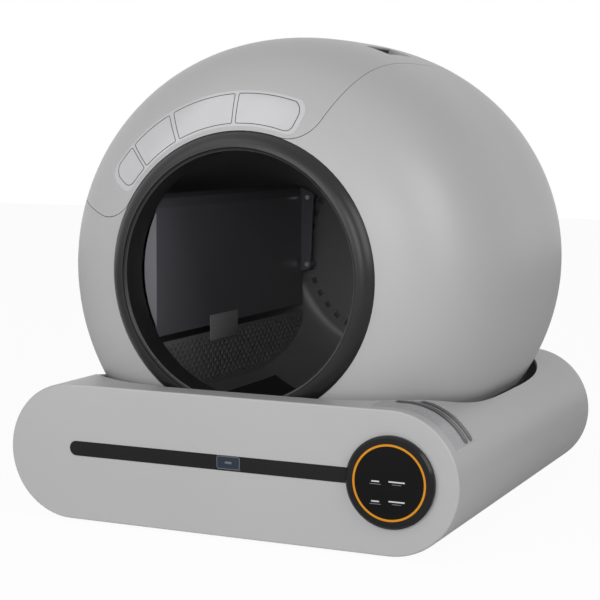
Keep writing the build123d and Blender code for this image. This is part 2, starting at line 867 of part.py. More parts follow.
# Cradle: a trough under the drum on two side walls, with a shelf that the housing stands on
with BuildPart() as cradle:
    with BuildSketch(Plane.XY.offset(shelf_top - cradle_wall)):
        Rectangle(2 * base_width, 2 * base_depth)
    extrude(amount=cradle_wall)
    add(globe_body(cradle_margin, 0), mode=Mode.INTERSECT)
    with BuildSketch(Plane.XY.offset(shelf_top)):
        with Locations((0, globe_front + shelf_setback - base_depth / 2)):
            Rectangle(base_width, base_depth)
        with Locations((0, shelf_rear + base_depth / 2)):
            Rectangle(base_width, base_depth)
    extrude(amount=-cradle_wall, mode=Mode.SUBTRACT)
    # Side walls and ends down to the floor of the base, then the trough hollowed out of them
    with BuildSketch(front_plane(cradle_rear)):
        with Locations((0, (base_floor + shelf_top) / 2)):
            Rectangle(2 * cradle_side, shelf_top - base_floor)
    extrude(amount=cradle_length)
    with BuildSketch(front_plane(cradle_rear + overrun)):
        with Locations((0, (base_floor + shelf_top) / 2)):
            Rectangle(2 * cradle_half, shelf_top - base_floor)
        with Locations((0, globe_z)):
            Circle(trough_outer, mode=Mode.SUBTRACT)
        with Locations((0, base_floor - overrun / 2)):
            Rectangle(2 * cradle_half, overrun)
    extrude(amount=cradle_length + 2 * overrun, mode=Mode.SUBTRACT)
    with BuildSketch(front_plane(cradle_rear - cradle_wall)):
        with Locations((0, globe_z)):
            Circle(trough_radius)
    extrude(amount=cradle_length - 2 * cradle_wall, mode=Mode.SUBTRACT)
    # Waste chute through the bottom of the trough
    with BuildSketch(Plane.XY.offset(globe_z - trough_outer - overrun)):
        with Locations((0, (port_front + drum_tail) / 2)):
            RectangleRounded(2 * chute_half, drum_tail - port_front + 2 * chute_margin, tray_corner)
    extrude(amount=cradle_margin * 2 + cradle_wall + overrun + trough_radius / 8, mode=Mode.SUBTRACT)
    # Window for the motor and the pinion, and one for each roller
    with BuildSketch(front_plane(pinion_centre.Y + window_margin, pinion_centre.X, pinion_centre.Z)):
        Rectangle(window_size, window_size)
    extrude(amount=window_length, mode=Mode.SUBTRACT)
    for side in (-1, 1):
        for station in roller_stations:
            roller_spot = axis_point(roller_reach, 180 - side * roller_angle, station)
            with BuildSketch(front_plane(station + ear_length / 2 + slip, roller_spot.X, roller_spot.Z)):
                with Locations((side * roller_radius / 4, -roller_radius)):
                    Rectangle(4 * roller_radius, 4 * roller_radius)
                with Locations((side * (cradle_half + base_width / 2) - roller_spot.X, 0)):
                    Rectangle(base_width, base_width, mode=Mode.SUBTRACT)
            extrude(amount=ear_length + 2 * slip, mode=Mode.SUBTRACT)
    # Standoffs for the circuit board
    with BuildSketch(Plane.YZ.offset(cradle_side)):
        with Locations((circuit_front + circuit_length / 2, circuit_low + circuit_height / 2)):
            with GridLocations(standoff_pitch, standoff_rise, 2, 2):
                Circle(standoff_radius)
    extrude(amount=standoff_length)
cradle.part.label = "cradle"
export_step(cradle.part, "parts/cradle.step")


# Support rollers, each with its axle and a bracket on the inside of the cradle wall
def make_roller(side, station, place):
    spot = axis_point(roller_reach, 180 - side * roller_angle, station)
    with BuildPart() as support_roller:
        with BuildSketch(front_plane(spot.Y + roller_width / 2, spot.X, spot.Z)):
            Circle(roller_radius)
            Circle(axle_radius + running_fit, mode=Mode.SUBTRACT)
        extrude(amount=roller_width)
    support_roller.part.label = "roller_" + place
    export_step(support_roller.part, "parts/roller_" + place + ".step")

    with BuildPart() as roller_axle:
        with BuildSketch(front_plane(spot.Y + ear_length / 2, spot.X, spot.Z)):
            Circle(axle_radius)
        extrude(amount=ear_length)
    roller_axle.part.label = "axle_" + place
    export_step(roller_axle.part, "parts/axle_" + place + ".step")

    # A shelf under the roller with two ears, its back against the cradle wall
    wall_face = side * cradle_half
    low = spot.Z - roller_seat_drop
    nose_x = spot.X - side * 2 * axle_radius
    with BuildPart() as roller_bracket:
        with BuildSketch(front_plane(spot.Y + ear_length / 2)):
            with BuildLine():
                Polyline(
                    (wall_face, low),
                    (spot.X - side * roller_radius, low),
                    (spot.X - side * roller_radius, low + ear_wall),
                    (nose_x, spot.Z + axle_radius),
                    (nose_x, spot.Z + 2 * axle_radius),
                    (spot.X + side * 2 * axle_radius, spot.Z + 2 * axle_radius),
                    (wall_face, spot.Z - 2 * axle_radius),
                    close=True,
                )
            make_face()
        extrude(amount=ear_length)
        with BuildSketch(front_plane(spot.Y + ear_length / 2 - ear_wall)):
            with Locations((wall_face - side * (ear_wall + base_width / 2), low + ear_wall + base_width / 2)):
                Rectangle(base_width, base_width)
        extrude(amount=ear_length - 2 * ear_wall, mode=Mode.SUBTRACT)
        with BuildSketch(front_plane(spot.Y + ear_length / 2 + overrun, spot.X, spot.Z)):
            Circle(axle_radius + running_fit)
        extrude(amount=ear_length + 2 * overrun, mode=Mode.SUBTRACT)
    roller_bracket.part.label = "roller_bracket_" + place
    export_step(roller_bracket.part, "parts/roller_bracket_" + place + ".step")


for side, side_name in ((-1, "left"), (1, "right")):
    for station, end_name in zip(roller_stations, ("front", "rear")):
        make_roller(side, station, end_name + "_" + side_name)

# Guide plate: a dark upright sheet with a rolled top lip and a flange screwed to the drum's tail
with BuildPart() as guide_plate:
    with BuildSketch(front_plane(plate_rear)):
        with BuildLine():
            Polyline(
                (plate_x, plate_bottom),
                (plate_x, plate_top - plate_lip),
                (plate_x - plate_lip_out / 3, plate_top - plate_lip / 3),
                (plate_x - plate_lip_out, plate_top),
                (plate_x - plate_lip_out - plate_wall, plate_top - plate_wall),
                (plate_x - plate_lip_out / 3 - plate_wall, plate_top - plate_lip / 3 - plate_wall / 2),
                (plate_x - plate_wall, plate_top - plate_lip),
                (plate_x - plate_wall, plate_bottom),
                close=True,
            )
        make_face()
    extrude(amount=plate_rear - plate_front)
    with BuildSketch(front_plane(plate_rear)):
        with BuildLine():
            Polyline(
                (plate_x - plate_wall, flange_bottom),
                (plate_x, flange_bottom),
                (plate_x + flange_width * 3 / 4, flange_bottom + flange_width / 4),
                (plate_x + flange_width, flange_top - flange_width / 2),
                (plate_x, flange_top),
                (plate_x - plate_wall, flange_top),
                close=True,
            )
        make_face()
        with Locations(*[(plate_x + flange_width / 2, height) for height in flange_screws]):
            Circle(screw_radius + running_fit, mode=Mode.SUBTRACT)
    extrude(amount=plate_wall)
    add(drum_inside(seat_gap), mode=Mode.INTERSECT)
guide_plate.part.label = "guide_plate"
export_step(guide_plate.part, "parts/guide_plate.step")

# The two screws of the flange
with BuildPart() as plate_screws:
    for height in flange_screws:
        with BuildSketch(front_plane(plate_rear - plate_wall, plate_x + flange_width / 2, height)):
            Circle(screw_head)
        extrude(amount=screw_head_height)
        with BuildSketch(front_plane(plate_rear - plate_wall, plate_x + flange_width / 2, height)):
            Circle(screw_radius)
        extrude(amount=-screw_length)
plate_screws.part.label = "plate_screws"
export_step(plate_screws.part, "parts/plate_screws.step")

# Sifting screen under the guide plate, staggered rows of long holes, cut to the drum's inside
screen_low = globe_z - sqrt(drum_bore**2 - plate_x**2)
screen_rows = int((screen_top - screen_rim - screen_low) / (screen_pitch_z / 2))
screen_columns = int((plate_rear - plate_front) / screen_pitch_y)
screen_holes = []
for row in range(screen_rows):
    hole_z = screen_top - screen_rim - screen_hole_z / 2 - row * screen_pitch_z / 2
    corner_radius = hypot(plate_x, globe_z - hole_z + screen_hole_z / 2)
    stagger = row % 2 * screen_pitch_y / 2
    for column in range(screen_columns):
        hole_y = plate_front + screen_edge + screen_hole_y / 2 + stagger + column * screen_pitch_y
        hole_front = hole_y - screen_hole_y / 2 - screen_edge / 2
        hole_rear = hole_y + screen_hole_y / 2 + screen_edge / 2
        room = min(drum_wall_radius(hole_front), drum_wall_radius(hole_rear))
        if corner_radius + screen_edge / 2 < room and hole_rear < plate_rear:
            screen_holes.append((hole_y, hole_z))
with BuildPart() as sifting_screen:
    with BuildSketch(Plane.YZ.offset(plate_x - plate_wall)):
        with Locations(((plate_front + plate_rear) / 2, (screen_top + screen_low) / 2)):
            Rectangle(plate_rear - plate_front, screen_top - screen_low)
        with Locations(*screen_holes):
            Rectangle(screen_hole_y, screen_hole_z, mode=Mode.SUBTRACT)
    extrude(amount=plate_wall)
    add(drum_inside(seat_gap), mode=Mode.INTERSECT)
sifting_screen.part.label = "sifting_screen"
export_step(sifting_screen.part, "parts/sifting_screen.step")

# Lining that the litter lies on, following the drum wall
liner_front = drum_split + liner_front_gap
liner_rear = drum_tail + liner_reach
with BuildPart() as drum_liner:
    with BuildSketch(radial_plane(liner_from)):
        with BuildLine():
            upper = []
            for step in range(liner_steps + 1):
                y = drum_tail + (liner_rear - drum_tail) * step / liner_steps
                upper.append((y, drum_wall_radius(y) - seat_gap))
            lower = [(y, radius - liner_wall) for y, radius in upper]
            Polyline(
                (liner_front, drum_bore - seat_gap),
                *upper,
                *reversed(lower),
                (liner_front, drum_bore - seat_gap - liner_wall),
                close=True,
            )
        make_face()
    revolve(axis=turn_axis, revolution_arc=liner_to - liner_from)
drum_liner.part.label = "drum_liner"
export_step(drum_liner.part, "parts/drum_liner.step")

# Hub cover on the back wall of the drum, with a ring of short radial ribs
with BuildPart() as hub_cover:
    with BuildSketch(front_plane(drum_rear - drum_wall, 0, globe_z)):
        Circle(hub_radius)
        with Locations(*[(plate_x + flange_width / 2, height - globe_z) for height in flange_screws]):
            Circle(screw_boss + slip, mode=Mode.SUBTRACT)
    extrude(amount=hub_wall)
    with BuildSketch(front_plane(drum_rear - drum_wall - hub_wall, 0, globe_z)):
        with PolarLocations((hub_rib_outer + hub_rib_inner) / 2, hub_ribs):
            Rectangle(hub_rib_outer - hub_rib_inner, hub_rib_width)
    extrude(amount=hub_rib_proud)
hub_cover.part.label = "hub_cover"
export_step(hub_cover.part, "parts/hub_cover.step")


# Solid stadium of the base, between two stations, its front and back edges rounded
def base_block(inset):
    with BuildPart() as block:
        with BuildSketch(front_plane(base_back - inset, 0, base_mid)):
            SlotOverall(base_width - 2 * inset, base_height - 2 * inset)
        extrude(amount=base_depth - 2 * inset)
        if inset == 0:
            fillet(block.faces().sort_by(Axis.Y)[-1].edges(), base_edge)
            fillet(block.faces().sort_by(Axis.Y)[0].edges(), base_edge)
    return block.part


# Wide opening round the globe: it clears the belly by room_gap and meets the globe near the rear
room_middle = base_shift + base_depth * room_share
room_half = (base_depth * room_depth_share, globe_power)
room_front = globe_front - cradle_margin * 2
room_rear = 2 * room_middle - room_front
room_curve = profile_points(room_middle, globe_radius + room_gap, room_half, room_half, room_front, room_rear)
with BuildPart() as wide_room:
    with BuildSketch(radial_plane(0)):
        with BuildLine():
            Spline(*room_curve)
            Polyline(room_curve[-1], (room_curve[-1][0], 0), (room_curve[0][0], 0), room_curve[0])
        make_face()
    revolve(axis=turn_axis)

# Room for the globe and for the entry ring in the top of the base
with BuildPart() as globe_room:
    add(globe_body(seam * 2, cradle_margin * 2))
    add(wide_room.part)
    with BuildSketch(front_plane(globe_front + throat_depth, 0, globe_z)):
        Circle(ring_radius + 2 * seam)
    extrude(amount=throat_depth + ring_proud + 2 * seam)
    with BuildSketch(Plane.XY.offset(shelf_top - cradle_wall - slip)):
        Rectangle(2 * base_width, 2 * base_depth)
    extrude(amount=-base_width, mode=Mode.SUBTRACT)

panel_back = base_front + panel_depth
base_hollow = base_block(base_wall)

# Heights of the drawer, which fills the room under the trough, and the place of the inlet beside it
tray_bottom = base_floor + rail_height + slip
tray_top = globe_z - trough_outer - tray_gap - frame_height
fascia_bottom = base_bottom + fascia_lift
fascia_top = tray_top + frame_height + fascia_cover
fascia_height = fascia_top - fascia_bottom
fascia_centre = (fascia_bottom + fascia_top) / 2
inlet_x = fascia_half + (base_width / 2 - fascia_half) * inlet_share
inlet_z = base_bottom + inlet_rise

# Opening for the drawer in the back wall of the base
with BuildPart() as drawer_opening:
    with BuildSketch(front_plane(base_back + overrun, 0, fascia_centre)):
        RectangleRounded(
            2 * (fascia_half + fascia_gap), fascia_height + 2 * fascia_gap, fascia_corner + fascia_gap
        )
    extrude(amount=base_wall + 2 * overrun)

# Upper shell of the base, open where the globe stands in it
with BuildPart() as base_upper_shell:
    add(base_block(0))
    add(base_hollow, mode=Mode.SUBTRACT)
    add(globe_room.part, mode=Mode.SUBTRACT)
    add(drawer_opening.part, mode=Mode.SUBTRACT)
    split(bisect_by=Plane.XY.offset(base_mid), keep=Keep.TOP)
    split(bisect_by=Plane.XZ.offset(-panel_back), keep=Keep.BOTTOM)
base_upper_shell.part.label = "base_upper_shell"
export_step(base_upper_shell.part, "parts/base_upper_shell.step")

# Lower shell of the base, with the drawer opening and the inlet hole in its back wall
with BuildPart() as base_lower_shell:
    add(base_block(0))
    add(base_hollow, mode=Mode.SUBTRACT)
    split(bisect_by=Plane.XY.offset(base_mid), keep=Keep.BOTTOM)
    split(bisect_by=Plane.XZ.offset(-panel_back), keep=Keep.BOTTOM)
    add(drawer_opening.part, mode=Mode.SUBTRACT)
    with BuildSketch(front_plane(base_back + overrun, inlet_x, inlet_z)):
        Circle(inlet_radius + running_fit)
    extrude(amount=base_wall + 2 * overrun, mode=Mode.SUBTRACT)
base_lower_shell.part.label = "base_lower_shell"
export_step(base_lower_shell.part, "parts/base_lower_shell.step")

# Front panel, a stadium cap with a slot for the strip and a hole for the display
strip_z = base_mid + strip_rise
strip_left = strip_inset - base_width / 2
display_x = base_width / 2 - display_inset
display_z = base_mid + display_rise
strip_right = display_x - display_neck
with BuildPart() as front_panel:
    add(base_block(0))
    split(bisect_by=Plane.XZ.offset(-panel_back), keep=Keep.TOP)
    with BuildSketch(front_plane(panel_back, 0, base_mid)):
        SlotOverall(base_width - 2 * panel_rim, base_height - 2 * panel_rim)
    extrude(amount=panel_depth - panel_wall, mode=Mode.SUBTRACT)
    with BuildSketch(front_plane(base_front + strip_depth, 0, strip_z)):
        with Locations((strip_left + strip_height / 2, 0)):
            Circle(strip_height / 2 + seat_gap)
        with Locations(((strip_left + strip_height / 2 + display_x) / 2, 0)):
            Rectangle(display_x - strip_left - strip_height / 2, strip_height + 2 * seat_gap)
    extrude(amount=strip_depth + overrun, mode=Mode.SUBTRACT)
    with BuildSketch(front_plane(panel_back, display_x, display_z)):
        Circle(display_neck + seat_gap)
    extrude(amount=panel_depth + overrun, mode=Mode.SUBTRACT)
    with BuildSketch(front_plane(panel_back, tile_x, strip_z)):
        Rectangle(sensor_width, sensor_height)
    extrude(amount=panel_depth + overrun, mode=Mode.SUBTRACT)
front_panel.part.label = "front_panel"
export_step(front_panel.part, "parts/front_panel.step")

# Black control strip, round at its left end, with a notch for the sensor tile
tile_z = strip_z + (strip_height - tile_height) / 2
with BuildPart() as control_strip:
    with BuildSketch(front_plane(base_front + strip_depth - seat_gap / 2, 0, strip_z)):
        with Locations((strip_left + strip_height / 2, 0)):
            Circle(strip_height / 2)
        with Locations(((strip_left + strip_height / 2 + strip_right) / 2, 0)):
            Rectangle(strip_right - strip_left - strip_height / 2, strip_height)
        with Locations((display_x, display_z - strip_z)):
            Circle(display_radius + slip, mode=Mode.SUBTRACT)
        with Locations((tile_x, tile_z - strip_z)):
            Rectangle(tile_width + 2 * seat_gap, tile_height + 2 * seat_gap, mode=Mode.SUBTRACT)
    extrude(amount=strip_depth + strip_proud - seat_gap / 2)
control_strip.part.label = "control_strip"
export_step(control_strip.part, "parts/control_strip.step")

# Sensor tile in the strip and the presence sensor behind it
with BuildPart() as sensor_tile:
    with BuildSketch(front_plane(base_front + strip_depth - seat_gap / 2, tile_x, tile_z)) as tile_face:
        Rectangle(tile_width, tile_height)
        fillet(tile_face.vertices().group_by(Axis.Z)[0], tile_corner)
    extrude(amount=strip_depth + tile_proud - seat_gap / 2)
sensor_tile.part.label = "sensor_tile"
export_step(sensor_tile.part, "parts/sensor_tile.step")

with BuildPart() as presence_sensor:
    with BuildSketch(front_plane(base_front + strip_depth + slip, tile_x, strip_z)):
        Rectangle(sensor_width - 2 * slip, sensor_height - 2 * slip)
    extrude(amount=-sensor_depth)
    with BuildSketch(front_plane(base_front + panel_wall + seat_gap, tile_x, strip_z)):
        Rectangle(sensor_width + 2 * sensor_depth, sensor_height + sensor_depth)
    extrude(amount=-board_thickness)
presence_sensor.part.label = "presence_sensor"
export_step(presence_sensor.part, "parts/presence_sensor.step")

# Display bezel: a proud round drum with a chamfered rim, wells for the light ring and the glass
display_face = base_front - display_proud
light_inner = light_outer - light_width
with BuildPart() as display_bezel:
    with BuildSketch(front_plane(base_front, display_x, display_z)):
        Circle(display_radius)
    extrude(amount=display_proud)
    chamfer(display_bezel.edges().filter_by(GeomType.CIRCLE).group_by(Axis.Y)[0], display_chamfer)
    with BuildSketch(front_plane(base_front, display_x, display_z)):
        Circle(display_neck)
    extrude(amount=-display_neck_depth)
    with BuildSketch(front_plane(display_face, display_x, display_z)):
        Circle(light_outer + seat_gap)
    extrude(amount=-light_depth, mode=Mode.SUBTRACT)
    with BuildSketch(front_plane(display_face, display_x, display_z)):
        Circle(light_inner - light_width)
    extrude(amount=-(display_proud + display_neck_depth + overrun), mode=Mode.SUBTRACT)
    with BuildSketch(front_plane(display_face + display_well, display_x, display_z)):
        Circle(light_outer)
    extrude(amount=-(display_proud + display_neck_depth), mode=Mode.SUBTRACT)
display_bezel.part.label = "display_bezel"
export_step(display_bezel.part, "parts/display_bezel.step")

with BuildPart() as display_light_ring:
    with BuildSketch(front_plane(display_face + light_depth, display_x, display_z)):
        Circle(light_outer)
        Circle(light_inner, mode=Mode.SUBTRACT)
    extrude(amount=light_depth - seat_gap)
display_light_ring.part.label = "display_light_ring"
export_step(display_light_ring.part, "parts/display_light_ring.step")

with BuildPart() as display_glass:
    with BuildSketch(front_plane(display_face + light_depth, display_x, display_z)):
        Circle(light_inner - seat_gap)
    extrude(amount=glass_thickness - seat_gap)
display_glass.part.label = "display_glass"
export_step(display_glass.part, "parts/display_glass.step")

with BuildPart() as display_board:
    with BuildSketch(front_plane(display_face + display_well + board_thickness, display_x, display_z)):
        Circle(light_outer - board_margin)
    extrude(amount=board_thickness)
    with BuildSketch(front_plane(display_face + display_well, display_x, display_z)):
        Circle(light_inner - light_width - slip)
    extrude(amount=display_well - light_depth - slip)
display_board.part.label = "display_board"
export_step(display_board.part, "parts/display_board.step")

# Drawer rails on the floor, the tray that slides on them, its bag frame and its front
rail_outer = cradle_half - slip
tray_height = tray_top - tray_bottom
tray_front = base_front + tray_setback
tray_rear = base_back - fascia_depth
tray_length = tray_rear - tray_front
tray_centre = (tray_rear + tray_front) / 2
with BuildPart() as drawer_rails:
    for side in (-1, 1):
        with BuildSketch(front_plane(tray_rear)):
            with Locations((side * (rail_outer - rail_width / 2), base_floor + rail_height / 2)):
                Rectangle(rail_width, rail_height)
            with Locations((side * (rail_outer - rail_wall / 2), base_floor + rail_rise / 2)):
                Rectangle(rail_wall, rail_rise)
        extrude(amount=tray_length)
drawer_rails.part.label = "drawer_rails"
export_step(drawer_rails.part, "parts/drawer_rails.step")

tray_inner = tray_half - tray_wall
with BuildPart() as drawer_tray:
    with BuildSketch(Plane.XY.offset(tray_bottom)):
        with Locations((0, tray_centre)):
            RectangleRounded(2 * tray_half, tray_length, tray_corner)
    extrude(amount=tray_height)
    with BuildSketch(Plane.XY.offset(tray_bottom + tray_wall)):
        with Locations((0, tray_centre)):
            RectangleRounded(2 * tray_inner, tray_length - 2 * tray_wall, tray_corner - tray_wall)
    extrude(amount=tray_height, mode=Mode.SUBTRACT)
    fillet(drawer_tray.faces().sort_by(Axis.Z)[0].edges(), tray_wall)
drawer_tray.part.label = "drawer_tray"
export_step(drawer_tray.part, "parts/drawer_tray.step")

with BuildPart() as bag_frame:
    with BuildSketch(Plane.XY.offset(tray_top)):
        with Locations((0, tray_centre)):
            RectangleRounded(2 * tray_half, tray_length, tray_corner)
            RectangleRounded(
                2 * (tray_half - frame_width),
                tray_length - 2 * frame_width,
                tray_corner / 2,
                mode=Mode.SUBTRACT,
            )
    extrude(amount=frame_height)
    chamfer(bag_frame.faces().sort_by(Axis.Z)[-1].edges(), frame_height / 4)
bag_frame.part.label = "bag_frame"
export_step(bag_frame.part, "parts/bag_frame.step")

with BuildPart() as drawer_front:
    with BuildSketch(front_plane(base_back, 0, fascia_centre)):
        RectangleRounded(2 * fascia_half, fascia_height, fascia_corner)
    extrude(amount=fascia_depth)
    fillet(drawer_front.faces().sort_by(Axis.Y)[-1].edges(), seam)
    # Finger grip scooped into the outer face
    with BuildSketch(front_plane(base_back, 0, fascia_top - grip_lip)):
        Circle(grip_radius)
        with Locations((0, base_width / 2)):
            Rectangle(base_width, base_width, mode=Mode.SUBTRACT)
    extrude(amount=grip_depth, mode=Mode.SUBTRACT)
drawer_front.part.label = "drawer_front"
export_step(drawer_front.part, "parts/drawer_front.step")

# Feet under the corners, and a load cell on the floor over each
foot_x = cradle_side + foot_gap
foot_y = base_depth / 2 - foot_inset
foot_spots = []
for end, end_name in ((-1, "front"), (1, "rear")):
    for side, side_name in ((-1, "left"), (1, "right")):
        foot_spots.append((side * foot_x, base_shift + end * foot_y, end_name + "_" + side_name))

for x, y, place in foot_spots:
    with BuildPart() as foot:
        with BuildSketch(Plane.XY):
            with Locations((x, y)):
                Circle(foot_radius)
        extrude(amount=foot_height)
        chamfer(foot.faces().sort_by(Axis.Z)[0].edges(), foot_chamfer)
    foot.part.label = "foot_" + place
    export_step(foot.part, "parts/foot_" + place + ".step")

with BuildPart() as load_cells:
    for x, y, place in foot_spots:
        cell_x = x + (1 if x > 0 else -1) * (cell_width / 2)
        with BuildSketch(Plane.YZ.offset(cell_x - cell_width / 2)):
            with Locations((y, base_floor + cell_height / 2)):
                Rectangle(cell_length, cell_height)
            with Locations((y, base_floor + cell_height / 2)):
                SlotCenterToCenter(2 * cell_slot_radius, 2 * cell_slot_radius, mode=Mode.SUBTRACT)
        extrude(amount=cell_width)
load_cells.part.label = "load_cells"
export_step(load_cells.part, "parts/load_cells.step")

# Circuit board on the standoffs beside the cradle
board_face = cradle_side + standoff_length
with BuildPart() as control_board:
    with BuildSketch(Plane.YZ.offset(board_face)):
        with Locations((circuit_front + circuit_length / 2, circuit_low + circuit_height / 2)):
            Rectangle(circuit_length, circuit_height)
    extrude(amount=board_thickness)
    with BuildSketch(Plane.YZ.offset(board_face + board_thickness)):
        with Locations((circuit_front + circuit_length / 4, circuit_low + circuit_height / 2)):
            Rectangle(2 * chip_height, 2 * chip_height)
        with Locations((circuit_front + circuit_length * 3 / 4, circuit_low + circuit_height / 2)):
            Rectangle(chip_height, 3 * chip_height)
    extrude(amount=chip_height)
control_board.part.label = "control_board"
export_step(control_board.part, "parts/control_board.step")

# Power inlet: a round socket with a centre pin, flush with the back of the base
with BuildPart() as power_inlet:
    with BuildSketch(front_plane(base_back, inlet_x, inlet_z)):
        Circle(inlet_radius)
    extrude(amount=inlet_depth)
    with BuildSketch(front_plane(base_back - base_wall - seat_gap, inlet_x, inlet_z)):
        Circle(inlet_radius + base_wall)
    extrude(amount=base_wall)
    with BuildSketch(front_plane(base_back, inlet_x, inlet_z)):
        Circle(inlet_bore)
        Circle(inlet_pin, mode=Mode.SUBTRACT)
    extrude(amount=inlet_socket_depth, mode=Mode.SUBTRACT)
power_inlet.part.label = "power_inlet"
export_step(power_inlet.part, "parts/power_inlet.step")
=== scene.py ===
import json
from math import cos, pi, radians, sin
import bpy
from mathutils import Matrix, Vector


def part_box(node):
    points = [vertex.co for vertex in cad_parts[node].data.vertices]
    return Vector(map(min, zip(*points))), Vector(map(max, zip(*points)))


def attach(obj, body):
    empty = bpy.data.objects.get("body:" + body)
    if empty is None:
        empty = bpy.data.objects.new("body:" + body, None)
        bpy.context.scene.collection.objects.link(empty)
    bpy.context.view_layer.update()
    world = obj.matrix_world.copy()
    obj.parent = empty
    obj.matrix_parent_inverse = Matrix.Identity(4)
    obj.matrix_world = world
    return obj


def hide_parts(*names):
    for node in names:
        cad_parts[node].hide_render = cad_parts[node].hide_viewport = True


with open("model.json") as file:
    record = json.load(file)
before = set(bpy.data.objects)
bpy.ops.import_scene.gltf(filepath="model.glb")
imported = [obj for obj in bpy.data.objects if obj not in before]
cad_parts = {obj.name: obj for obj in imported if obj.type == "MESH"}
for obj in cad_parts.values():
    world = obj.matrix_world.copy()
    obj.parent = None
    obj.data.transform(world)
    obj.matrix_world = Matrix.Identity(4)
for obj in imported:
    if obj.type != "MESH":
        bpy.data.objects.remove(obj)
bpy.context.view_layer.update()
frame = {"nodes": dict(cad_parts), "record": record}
nodes = frame["nodes"]
print("frame loaded:", len(nodes), "nodes")

# Turning axis of the drum, the housing's radius about it, and a plane in front where flat sheets start
globe = dict(axisHeight=0.3145, radius=0.2977, before=-0.32)


# Shader groups that several finishes share

def newGroup(name, inputs, outputs):
    group = bpy.data.node_groups.new(name, "ShaderNodeTree")
    for label, kind, value in inputs:
        socket = group.interface.new_socket(label, in_out="INPUT", socket_type=kind)
        socket.default_value = value
    for label, kind in outputs:
        group.interface.new_socket(label, in_out="OUTPUT", socket_type=kind)
    return group, group.nodes.new("NodeGroupInput"), group.nodes.new("NodeGroupOutput")


def link(tree, source, target):
    tree.links.new(source, target)


def buildGrain():  # fine moulding grain: a height for the bump and a mask for the gloss
    group, ins, outs = newGroup(
        "mouldGrain",
        [("Scale", "NodeSocketFloat", 900.0), ("Cloud", "NodeSocketFloat", 9.0)],
        [("Height", "NodeSocketFloat"), ("Gloss", "NodeSocketFloat")],
    )
    place = group.nodes.new("ShaderNodeTexCoord")
    fine = group.nodes.new("ShaderNodeTexNoise")
    fine.inputs["Detail"].default_value = 2.0
    pits = group.nodes.new("ShaderNodeTexVoronoi")
    pits.feature = "SMOOTH_F1"
    cloud = group.nodes.new("ShaderNodeTexNoise")
    cloud.inputs["Detail"].default_value = 3.0
    link(group, place.outputs["Object"], fine.inputs["Vector"])
    link(group, place.outputs["Object"], pits.inputs["Vector"])
    link(group, place.outputs["Object"], cloud.inputs["Vector"])
    link(group, ins.outputs["Scale"], fine.inputs["Scale"])
    link(group, ins.outputs["Scale"], pits.inputs["Scale"])
    link(group, ins.outputs["Cloud"], cloud.inputs["Scale"])
    both = group.nodes.new("ShaderNodeMath")
    both.operation = "MULTIPLY"
    link(group, fine.outputs["Fac"], both.inputs[0])
    link(group, pits.outputs["Distance"], both.inputs[1])
    link(group, both.outputs[0], outs.inputs["Height"])
    link(group, cloud.outputs["Fac"], outs.inputs["Gloss"])
    return group


def buildTone():  # slow change of colour over a large moulding
    group, ins, outs = newGroup(
        "mouldTone",
        [("Light", "NodeSocketColor", (0.5, 0.5, 0.5, 1)), ("Deep", "NodeSocketColor", (0.4, 0.4, 0.4, 1)),
         ("Scale", "NodeSocketFloat", 4.0)],
        [("Color", "NodeSocketColor")],
    )
    place = group.nodes.new("ShaderNodeTexCoord")
    cloud = group.nodes.new("ShaderNodeTexNoise")
    cloud.inputs["Detail"].default_value = 4.0
    link(group, place.outputs["Object"], cloud.inputs["Vector"])
    link(group, ins.outputs["Scale"], cloud.inputs["Scale"])
    ramp = group.nodes.new("ShaderNodeValToRGB")
    ramp.color_ramp.elements[0].position = 0.35
    ramp.color_ramp.elements[1].position = 0.65
    link(group, cloud.outputs["Fac"], ramp.inputs["Fac"])
    mix = group.nodes.new("ShaderNodeMix")
    mix.data_type = "RGBA"
    link(group, ramp.outputs["Color"], mix.inputs["Factor"])
    link(group, ins.outputs["Deep"], mix.inputs["A"])
    link(group, ins.outputs["Light"], mix.inputs["B"])
    link(group, mix.outputs["Result"], outs.inputs["Color"])
    return group


def buildBrush():  # drawn or turned metal: fine lines along one direction
    group, ins, outs = newGroup(
        "drawnLines",
        [("Along", "NodeSocketVector", (40.0, 2.0, 40.0)), ("Scale", "NodeSocketFloat", 60.0)],
        [("Height", "NodeSocketFloat"), ("Gloss", "NodeSocketFloat")],
    )
    place = group.nodes.new("ShaderNodeTexCoord")
    stretch = group.nodes.new("ShaderNodeVectorMath")
    stretch.operation = "MULTIPLY"
    lines = group.nodes.new("ShaderNodeTexNoise")
    lines.inputs["Detail"].default_value = 5.0
    link(group, place.outputs["Object"], stretch.inputs[0])
    link(group, ins.outputs["Along"], stretch.inputs[1])
    link(group, stretch.outputs[0], lines.inputs["Vector"])
    link(group, ins.outputs["Scale"], lines.inputs["Scale"])
    link(group, lines.outputs["Fac"], outs.inputs["Height"])
    link(group, lines.outputs["Fac"], outs.inputs["Gloss"])
    return group


grainGroup = buildGrain()
toneGroup = buildTone()
brushGroup = buildBrush()


def groupNode(tree, group, values):
    node = tree.nodes.new("ShaderNodeGroup")
    node.node_tree = group
    for label, value in values.items():
        node.inputs[label].default_value = value
    return node


def remap(tree, source, low, high):
    node = tree.nodes.new("ShaderNodeMapRange")
    node.inputs["To Min"].default_value = low
    node.inputs["To Max"].default_value = high
    link(tree, source, node.inputs["Value"])
    return node.outputs["Result"]


def bump(tree, height, distance, strength, shader):
    node = tree.nodes.new("ShaderNodeBump")
    node.inputs["Distance"].default_value = distance
    node.inputs["Strength"].default_value = strength
    link(tree, height, node.inputs["Height"])
    link(tree, node.outputs["Normal"], shader.inputs["Normal"])


# What a finish takes where its own line says nothing else
plainLook = dict(toneScale=4.0, grainScale=900.0, grainStrength=0.35, shine=0.5)
mouldDetail = dict(cloud=9.0, grainDepth=0.00004)
metalDetail = dict(toneScale=30.0, lineDepth=0.00002, lineStrength=0.3)


